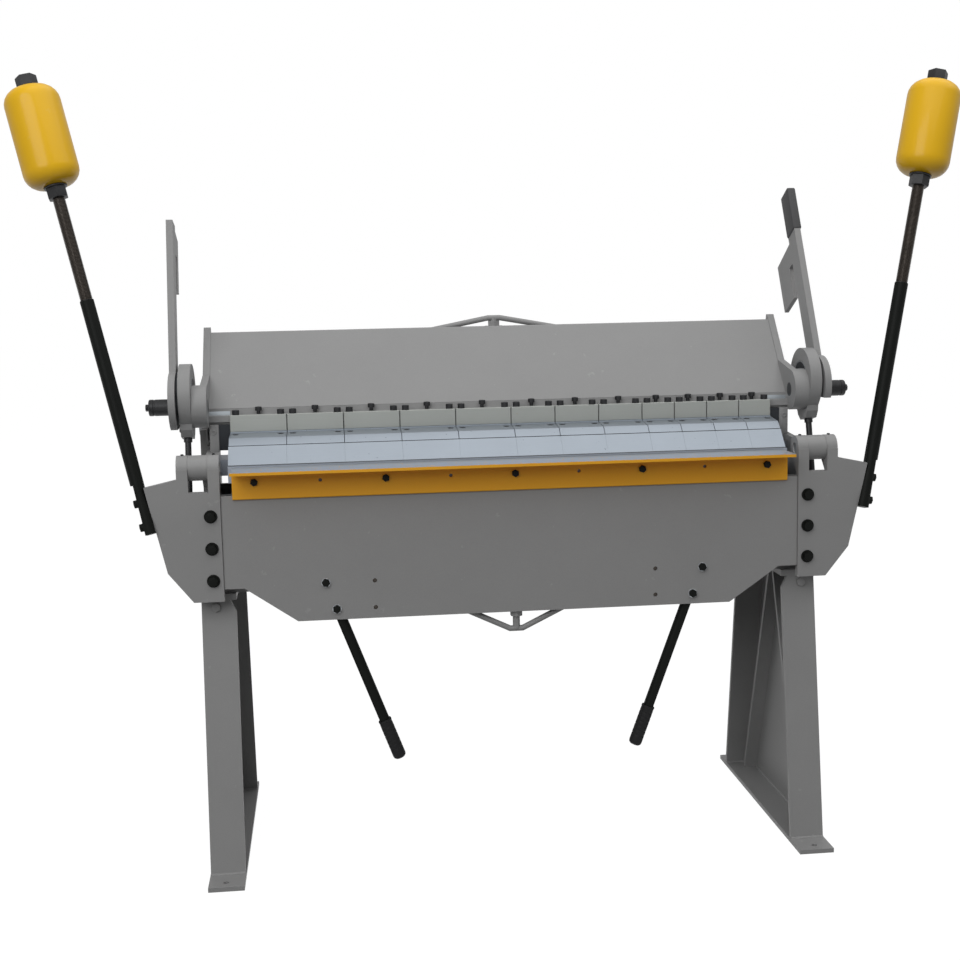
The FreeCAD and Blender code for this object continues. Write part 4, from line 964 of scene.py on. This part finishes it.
@dataclass
class ApronTrim:
    """Bolts, washers, welds and grips of the folding apron."""

    arm_bolt: Triple = (661.0, -30.0, 801.5)
    arm_pitch: float = 70.5
    arm_washer: Pair = (14.2, 3.0)
    arm_head: Pair = (10.6, 8.0)
    arm_tip: tuple[Pair, ...] = ((0.0, 10.9), (4.6, 10.9), (5.2, 10.2), (5.2, 9.0), (0.0, 9.0))
    angle_bolt: Pair = (-32.5, 873.0)
    angle_pitch: float = 282.8
    angle_head: Pair = (8.4, 6.5)
    angle_hole_r: float = 3.9
    angle_hole_y: float = -27.2
    handle: Triple = (398.0, -2.5, 586.0)
    handle_lean: float = 20.3
    handle_pitch: float = 63.5
    handle_washer: Pair = (10.2, 1.4)
    handle_head: Pair = (9.3, 5.6)
    spare_step: float = 85.0
    spare_rise: float = 59.7
    spare_hole_r: float = 4.9
    spare_hole_y: float = -21.0
    plate_face: float = -26.0
    below: float = 376.0
    grip: Pair = (15.0, 96.0)
    grip_bore: float = 11.6
    ear_x: Pair = (651.4, 717.9)
    ear_top: float = 931.3
    ear_screw: Pair = (3.6, 3.4)
    bar_weld: Triple = (606.0, -13.6, 802.6)
    ear_weld: Triple = (641.0, -13.8, 852.0)
    ear_weld_run: float = 21.0
    bead: float = 2.6

    def lean(self) -> Vector:
        """Unit vector down the right handle."""
        angle = math.radians(self.handle_lean)
        return Vector((-math.sin(angle), 0, -math.cos(angle)))

    def arm_bolts(self) -> None:
        """Large black bolts with wide washers on both hinge arms."""
        x, y, z = self.arm_bolt
        shape = Shape()
        for side in Side:
            for step in range(3):
                seat = at(side.value * x, y, z - self.arm_pitch * step)
                turn = 12.0 + 17.0 * step
                shape.add(bolted(SHANK_R, self.arm_washer, self.arm_head, seat, FRONT, turn))
                shape.add(turned(self.arm_tip, seat, FRONT, 20))
        show(shape, "arm_bolt_heads", TUBE, "apron", "arm_bolts")

    def plate_bolts(self) -> None:
        """Bolts of the wear angle, and those of the handles with their bright washers."""
        heads, rims = Shape(), Shape()
        for step in range(-2, 3):
            seat = at(step * self.angle_pitch, *self.angle_bolt)
            heads.add(hexagon(*self.angle_head, seat, FRONT, 9.0 * step))
        x, _, z = self.handle
        up = -self.lean() * self.handle_pitch
        for side in Side:
            for rise in (0.0, 1.0):
                seat = at(side.value * (x + up.x * rise), self.plate_face, z + up.z * rise)
                rims.add(washer(SHANK_R, *self.handle_washer, seat, FRONT))
                seat += FRONT * self.handle_washer[1]
                heads.add(hexagon(*self.handle_head, seat, FRONT, 21.0 * rise))
        show(heads, "apron_bolt_heads", TUBE, "apron", "apron_bolts")
        show(rims, "handle_washers", TURNED, "apron")

    def hole_shade_discs(self) -> None:
        """Dark discs in the open holes of the wear angle and of the plate: painted shade at their
        ends.
        """
        z = self.angle_bolt[1]
        holes = [
            (at(step * self.angle_pitch, self.angle_hole_y, z), self.angle_hole_r)
            for step in (-1.5, -0.5, 0.5, 1.5)
        ]
        x, _, z = self.handle
        for side in Side:
            for rise in (0.0, self.spare_rise):
                place = at(side.value * (x - self.spare_step), self.spare_hole_y, z + rise)
                holes.append((place, self.spare_hole_r))
        shape = Shape()
        for place, radius in holes:
            outline = [(0.0, -1.0), (radius, -1.0), (radius, 0.0), (0.0, 0.0)]
            shape.add(turned(outline, place, FRONT, 20))
        # These dark discs are painted shade inside the holes.
        show(shape, "open_hole_shade_discs", THREAD, "apron")

    def grips(self) -> None:
        """Moulded sleeves of the two handles, with a rolled mouth and a domed tip."""
        down = self.lean()
        radius, length = self.grip
        flank = radius - 0.3
        outline = [
            (self.grip_bore, 0.0), (radius - 0.6, 0.0), (radius, 1.2), (radius, 4.0),
            (radius - 0.8, 5.0),
        ]
        for step in range(1, 7):
            groove = 5.0 + step * (length - 20.0) / 7
            outline += [(flank, groove - 1.4), (radius - 1.0, groove), (flank, groove + 1.4)]
        outline += [
            (flank, length - 9.0), (radius - 1.2, length - 4.0), (radius - 4.5, length - 0.9),
            (0.0, length),
        ]
        start = at(*self.handle) + down * (self.below - length)
        sleeves = both(lambda: turned(outline, start, down, 40))
        show(sleeves, "handle_sleeves", GRIP, "apron", "handle_grips")

    def ear_screws(self) -> None:
        """Set screws on the top of the hinge ears, which hold the hinge pins."""
        shape = Shape()
        for side in Side:
            for x in self.ear_x:
                seat = at(x, 0.0, self.ear_top)
                shape.add(socket_head(*self.ear_screw, seat, UP).mirrored(side))
        show(shape, "ear_set_screws", BLACK, "apron")

    def welds(self) -> None:
        """Beads where the bar is welded to the plate's rear, and under the arms' ears."""
        x, y, z = self.bar_weld
        shape = weld(at(-x, y, z), at(x, y, z), self.bead)
        start = at(*self.ear_weld)
        shape.add(both(lambda: weld(start, start + OUT * self.ear_weld_run, self.bead)))
        show(shape, "apron_welds", GREY, "apron")

    def build(self) -> None:
        """Build the trim."""
        self.arm_bolts()
        self.plate_bolts()
        self.hole_shade_discs()
        self.grips()
        self.ear_screws()
        self.welds()


@dataclass
class Counterweights:
    """The two weights on their threaded rods, with nuts and the bolts of the tubes."""

    foot: Triple = (788.44, -30.5, 768.0)
    lean: Pair = (0.2434, 0.1937)
    tube_top: float = 1265.0
    weight_foot: float = 1511.5
    weight_length: float = 220.0
    weight_r: float = 60.0
    round: float = 34.0
    rod_r: float = 13.5
    pitch: float = 3.0
    past_nut: float = 1.0
    nut: Pair = (23.0, 24.0)
    washer: Pair = (25.0, 4.0)
    mouth: Pair = (14.9, 1.2)
    tube_foot: Pair = (757.0, 680.0)
    tube_end: Pair = (799.0, 868.0)
    bolt_rises: Pair = (108.0, 158.0)
    bolt_seat: float = 21.5
    bolt_washer: Pair = (10.6, 1.6)
    bolt_head: Pair = (9.6, 7.4)

    def along(self) -> Vector:
        """Unit vector up the right rod."""
        return Vector((*self.lean, 1.0)).normalized()

    def point(self, z: float) -> Vector:
        """The rod's middle at a height."""
        rise = z - self.foot[2]
        return at(self.foot[0] + rise * self.lean[0], self.foot[1] + rise * self.lean[1], z)

    def weight(self) -> list[Pair]:
        """The outline of a weight, with well rounded ends.

        Returns:
            The (radius, length) outline.
        """
        radius, length, ease = self.weight_r, self.weight_length, self.round
        arc = [math.radians(15 * step) for step in range(7)]
        low = [(radius - ease + ease * math.sin(a), ease - ease * math.cos(a)) for a in arc]
        high = [(out, length - up) for out, up in reversed(low)]
        bore, mouth = self.rod_r + 0.1, self.rod_r + 1.5
        return [(bore, 1.4), (mouth, 0.0)] + low + high + [(mouth, length), (bore, length - 1.4)]

    def weights(self) -> None:
        """The enamelled weights and their lock nuts."""
        up = self.along()
        low = self.point(self.weight_foot)
        high = low + up * self.weight_length
        for side in Side:
            body = "counterweight_" + side.label
            enamel = turned(self.weight(), low, up, 72).mirrored(side)
            show(enamel, "enamel_weight_" + side.label, ENAMEL, body, "weight_" + side.label)
            nuts = Shape()
            for seat, way in ((low, -up), (high, up)):
                nuts.add(bolted(self.rod_r + 0.2, self.washer, self.nut, seat, way, 14.0))
            name = "weight_lock_nuts_" + side.label
            show(nuts.mirrored(side), name, BLACK, body, "weight_nuts_" + side.label)

    def rods(self) -> None:
        """The threaded rods and the mouths of their tubes."""
        up = self.along()
        start = self.point(self.tube_top)
        high = self.point(self.weight_foot) + up * self.weight_length
        length = (high - start).length + self.washer[1] + self.nut[1] + self.past_nut
        bars = both(lambda: thread(self.rod_r, length, self.pitch, start, up))
        show(bars, "threaded_bars", THREAD, "apron", "threaded_rods")
        mouths = both(lambda: washer(self.rod_r + 0.1, *self.mouth, start, up))
        show(mouths, "tube_mouths", BLACK, "apron")

    def foot_bolts(self) -> None:
        """Black hexagon bolts on the flattened feet of the tubes."""
        (x0, z0), (x1, z1) = self.tube_foot, self.tube_end
        run = Vector((x1 - x0, 0, z1 - z0)).normalized()
        out = Vector((run.z, 0, -run.x))
        shape = Shape()
        for side in Side:
            for rise in self.bolt_rises:
                y = self.foot[1] + (z0 + rise - self.foot[2]) * self.lean[1]
                seat = at(x0, y, z0) + run * (rise / run.z) + out * self.bolt_seat
                head = bolted(SHANK_R, self.bolt_washer, self.bolt_head, seat, out, 20.0)
                shape.add(head.mirrored(side))
        show(shape, "tube_bolt_heads", TUBE, "apron", "tube_bolts")

    def build(self) -> None:
        """Build both sides."""
        self.weights()
        self.rods()
        self.foot_bolts()


@dataclass
class ClampGear:
    """Caps, eccentric faces, strap screws, clamping nuts and the grip of the levers."""

    shaft: Pair = (129.5, 1026.0)
    eccentric: Pair = (151.05, 1045.40)
    strap_in: float = 703.0
    strap_out: float = 729.5
    lever_out: float = 750.5
    cap_r: float = 18.5
    cap_left: float = 48.0
    cap_right: float = 50.0
    stub: Pair = (8.0, 8.6)
    rod_r: float = 7.0
    neck_screw: float = 74.0
    screw: Pair = (5.0, 5.0)
    rim: Pair = (42.8, 45.8)
    rim_proud: float = 0.4
    lug: Pair = (90.0, 790.0)
    lug_foot: float = 764.5
    nut_washer: Pair = (21.0, 3.0)
    nut: Pair = (16.0, 14.0)
    lever_back: float = 28.0
    sleeve_in: float = 732.5
    sleeve_width: float = 21.5
    sleeve_half: float = 27.0
    sleeve_run: Pair = (412.0, 526.0)
    sleeve_ease: float = 4.5

    def cap_shape(self, side: Side) -> Shape:
        """A black end cap with a groove, a rounded rim and its hexagon stub.

        Args:
            side: the side where it goes.

        Returns:
            The shape.
        """
        length = self.cap_left if side is Side.LEFT else self.cap_right
        full, eased = self.cap_r, self.cap_r - 0.9
        groove, face = self.cap_r - 0.8, length - 1.2
        outline = [
            (0.0, 0.0), (eased, 0.0), (full, 1.0), (full, length - 14.0), (groove, length - 13.0),
            (groove, length - 11.0), (full, length - 10.0), (full, length - 3.0),
            (eased, length - 0.8), (15.5, length), (9.5, length), (9.0, face), (0.0, face),
        ]
        start = at(self.lever_out, *self.shaft)
        shape = turned(outline, start, OUT, 48)
        shape.add(hexagon(*self.stub, start + OUT * face, OUT, 8.0))
        return shape.mirrored(side)

    def rod_axis(self) -> tuple[Vector, Vector]:
        """The eccentric's middle and the unit vector down the strap rod.

        Returns:
            The point and the unit vector.
        """
        x = (self.strap_in + self.strap_out) / 2
        high = at(x, *self.eccentric)
        return high, (at(x, *self.lug) - high).normalized()

    def nut_shape(self, side: Side) -> Shape:
        """Washer and nut under the lug.

        Args:
            side: the side where they go.

        Returns:
            The shape.
        """
        high, down = self.rod_axis()
        seat = high + down * ((self.eccentric[1] - self.lug_foot) / -down.z)
        shape = bolted(self.rod_r + 0.2, self.nut_washer, self.nut, seat, down, 10.0)
        return shape.mirrored(side)

    def strap_trim(self, side: Side) -> None:
        """The screw in the neck of the strap, and the rims of its eccentric on both faces.

        Args:
            side: the side where they go.
        """
        high, down = self.rod_axis()
        neck = high + down * self.neck_screw
        neck.x = self.strap_out
        screw = socket_head(*self.screw, neck, OUT).mirrored(side)
        show(screw, "strap_screw_" + side.label, BLACK, "link_" + side.label)
        # Bright steel rings at the strap's bored edges: partly bare steel, partly a painted
        # highlight of the rounded edge.
        inner, outer = self.rim
        ring = [(inner, 0.0), (outer, 0.0), (outer, self.rim_proud), (inner, self.rim_proud)]
        rims = Shape()
        for x, way in ((self.strap_out, OUT), (self.strap_in, -OUT)):
            rims.add(turned(ring + ring[:1], at(x, *self.eccentric), way, 64))
        show(rims.mirrored(side), "eccentric_rim_" + side.label, TURNED, "cam_" + side.label)

    def grip(self) -> None:
        """The rectangular sleeve on the right lever, with softened corners."""
        lean = math.radians(self.lever_back)
        up = Vector((0, math.sin(lean), math.cos(lean)))
        back = Vector((0, up.z, -up.y))
        half, (low, high) = self.sleeve_half, self.sleeve_run
        origin = at(self.sleeve_in, *self.shaft)
        corners = [(-half, low), (half, low), (half, high), (-half, high)]
        shape = Shape().loop(origin + back * across + up * along for across, along in corners)
        shape.extrude(OUT * self.sleeve_width).ease(self.sleeve_ease, 4)
        show(shape, "lever_sleeve", SLEEVE, "cam_right", "lever_grip")

    def build(self) -> None:
        """Build both sides."""
        for side in Side:
            end = side.label
            show(self.cap_shape(side), "shaft_cap_" + end, BLACK, "cam_" + end, "lever_cap_" + end)
            nut = self.nut_shape(side)
            show(nut, "clamping_nut_" + end, BLACK, "nut_" + end, "clamp_nut_" + end)
            self.strap_trim(side)
        self.grip()


@dataclass
class FrameTrim:
    """Bolts and welds of the legs, and the blocks at the ends of the beam."""

    end_x: Pair = (648.3, 668.8)
    end_y: Pair = (136.0, 170.0)
    end_z: Pair = (921.0, 983.0)
    end_seat: Pair = (659.5, 966.0)
    end_screw: Pair = (6.0, 2.0)
    bolt: Triple = (662.0, 17.9, 591.5)
    bolt_out: Triple = (0.0, -596.0, 86.0)
    bolt_head: Pair = (10.5, 8.0)
    leg_in: float = 618.0
    web_in: float = 686.0
    web: float = 8.0
    foot_y: float = -66.0
    rear_y: float = 460.0
    base: float = 10.0
    bead: float = 3.4

    def end_block(self) -> Shape:
        """The block between the right end of the finger bar and the end plate.

        Returns:
            The shape.
        """
        (x0, x1), (y0, y1), (z0, z1) = self.end_x, self.end_y, self.end_z
        section = ((y0, z0), (y0, z1), (y1, z1), (y1, z0))
        return Shape().loop(at(x0, a, b) for a, b in section).extrude(OUT * (x1 - x0)).ease(1.0)

    def beam_ends(self) -> None:
        """The blocks at both ends of the finger bar, each with a socket screw."""
        x, z = self.end_seat
        screws = both(lambda: socket_head(*self.end_screw, at(x, self.end_y[0], z), FRONT))
        show(both(self.end_block), "beam_end_blocks", GREY, "upper_beam")
        show(screws, "beam_end_screws", GREY, "upper_beam")

    def bolts(self) -> None:
        """Painted hexagon bolts at the top of the front flanges."""
        out = Vector(self.bolt_out).normalized()
        heads = both(lambda: hexagon(*self.bolt_head, at(*self.bolt), out, 10.0))
        show(heads, "painted_leg_bolts", GREY, "frame", "leg_bolts")

    def leg_beads(self) -> Shape:
        """The beads between the right leg and its base plate.

        Returns:
            The shape.
        """
        x0, x1, z = self.leg_in, self.web_in, self.base
        y0, y1 = self.foot_y, self.rear_y
        across = [(y0 - 0.5, self.web), (y0 + 11.0, 0.0), (y1 - 1.0, 0.0), (y1 + 10.0, self.web)]
        shape = weld(at(x1 - 1.0, y0 + 14.0, z + 0.5), at(x1 - 1.0, y1 - 2.0, z + 0.5), self.bead)
        for y, past in across:
            shape.add(weld(at(x0, y, z), at(x1 + past, y, z), self.bead))
        return shape

    def build(self) -> None:
        """Build the trim."""
        self.beam_ends()
        self.bolts()
        show(both(self.leg_beads), "leg_welds", GREY, "frame")


@dataclass
class Studio:
    """Floor, white surroundings, lamps and the camera, whose places are in metres."""

    floor: float = 60000.0
    white: float = 0.75
    glow: float = 1.30
    shade: float = 0.45
    bounce: float = 0.15
    sky: float = 0.22
    gleam: float = 0.6
    # The name, place in metres, watts and side in metres of each lamp.
    lamps: tuple[tuple[str, Triple, float, float], ...] = (
        ("top_lamp", (0.9, -0.6, 4.2), 88.0, 5.0), ("front_lamp", (-2.4, -3.9, 3.5), 104.0, 3.4),
    )
    aim: Triple = (0.0, 0.0, 0.8)
    yaw: float = -5.99
    pitch: float = -7.956
    roll: float = -1.205
    eye: Triple = (-0.3948, -3.2439, 1.2850)
    lens: float = 52.68
    sensor: float = 36.0

    def ground(self) -> None:
        """A pale floor that shows white and keeps a soft shadow."""
        half = self.floor / 2
        corners = ((-half, -half), (half, -half), (half, half), (-half, half))
        made = Shape().loop(Vector((x, y, 0)) for x, y in corners).to_object("floor")
        material = bpy.data.materials.new("pale_floor")
        bench = Bench(material)
        seen, glossy = (bench.node("ShaderNodeLightPath", result=kind) for kind in RAYS)
        shade = seen * (self.shade - self.bounce) + self.bounce
        matt = bench.node("ShaderNodeBsdfDiffuse", {"Color": shade})
        plain = bench.node("ShaderNodeEmission", {"Color": WHITE, "Strength": self.glow})
        values = {0: (seen + glossy) * self.white, 1: matt, 2: plain}
        mixed = bench.node("ShaderNodeMixShader", values)
        bench.node("ShaderNodeOutputMaterial", {"Surface": mixed})
        made.data.materials.append(material)

    def surroundings(self) -> None:
        """A white world whose light on the machine is at a plain level."""
        world = bpy.data.worlds.new("surroundings")
        bpy.context.scene.world = world
        bench = Bench(world)
        seen, glossy = (bench.node("ShaderNodeLightPath", result=kind) for kind in RAYS)
        strength = self.sky + seen * (1.0 - self.sky) + glossy * (self.gleam - self.sky)
        sky = bench.node("ShaderNodeBackground", {"Color": WHITE, "Strength": strength})
        bench.node("ShaderNodeOutputWorld", {"Surface": sky})

    def lights(self) -> None:
        """Soft square lamps that shine at the middle of the machine."""
        for name, place, energy, size in self.lamps:
            data = bpy.data.lights.new(name, "AREA")
            data.energy = energy
            data.size = size
            made = linked(name, data)
            made.location = place
            way = Vector(self.aim) - Vector(place)
            made.rotation_euler = way.to_track_quat("-Z", "Y").to_euler()

    def camera(self) -> None:
        """The camera at the photograph's place."""
        yaw, pitch, roll = (math.radians(angle) for angle in (self.yaw, self.pitch, self.roll))
        level = math.cos(pitch)
        ahead = Vector((-math.sin(yaw) * level, math.cos(yaw) * level, math.sin(pitch)))
        right = Vector((math.cos(yaw), math.sin(yaw), 0.0))
        up = right.cross(ahead)
        side = right * math.cos(roll) + up * math.sin(roll)
        top = up * math.cos(roll) - right * math.sin(roll)
        matrix = Matrix((side, top, -ahead)).transposed().to_4x4()
        matrix.translation = Vector(self.eye)
        data = bpy.data.cameras.new("camera")
        data.lens = self.lens
        data.sensor_width = self.sensor
        made = linked("camera", data)
        made.matrix_world = matrix
        bpy.context.scene.camera = made

    def build(self) -> None:
        """Build the studio."""
        self.ground()
        self.surroundings()
        self.lights()
        self.camera()
        bpy.context.scene.view_settings.view_transform = "Standard"


def dress_nodes() -> None:
    """Give every CAD node that still shows its finish."""
    for name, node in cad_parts.items():
        finish = NODE_FINISH.get(name, GREY)
        material = finish.material()
        if not node.data.materials:
            node.data.materials.append(material)
        for place in node.material_slots:
            place.material = material
        log.info("%s: %s", name, material.name)


def main() -> None:
    """Build the looks around the frame."""
    logging.basicConfig(level=logging.INFO, format="%(message)s")
    Studio().build()
    dress_nodes()
    for assembly in (FingerRow(), ApronTrim(), Counterweights(), ClampGear(), FrameTrim()):
        assembly.build()


if __name__ == "__main__":
    main()
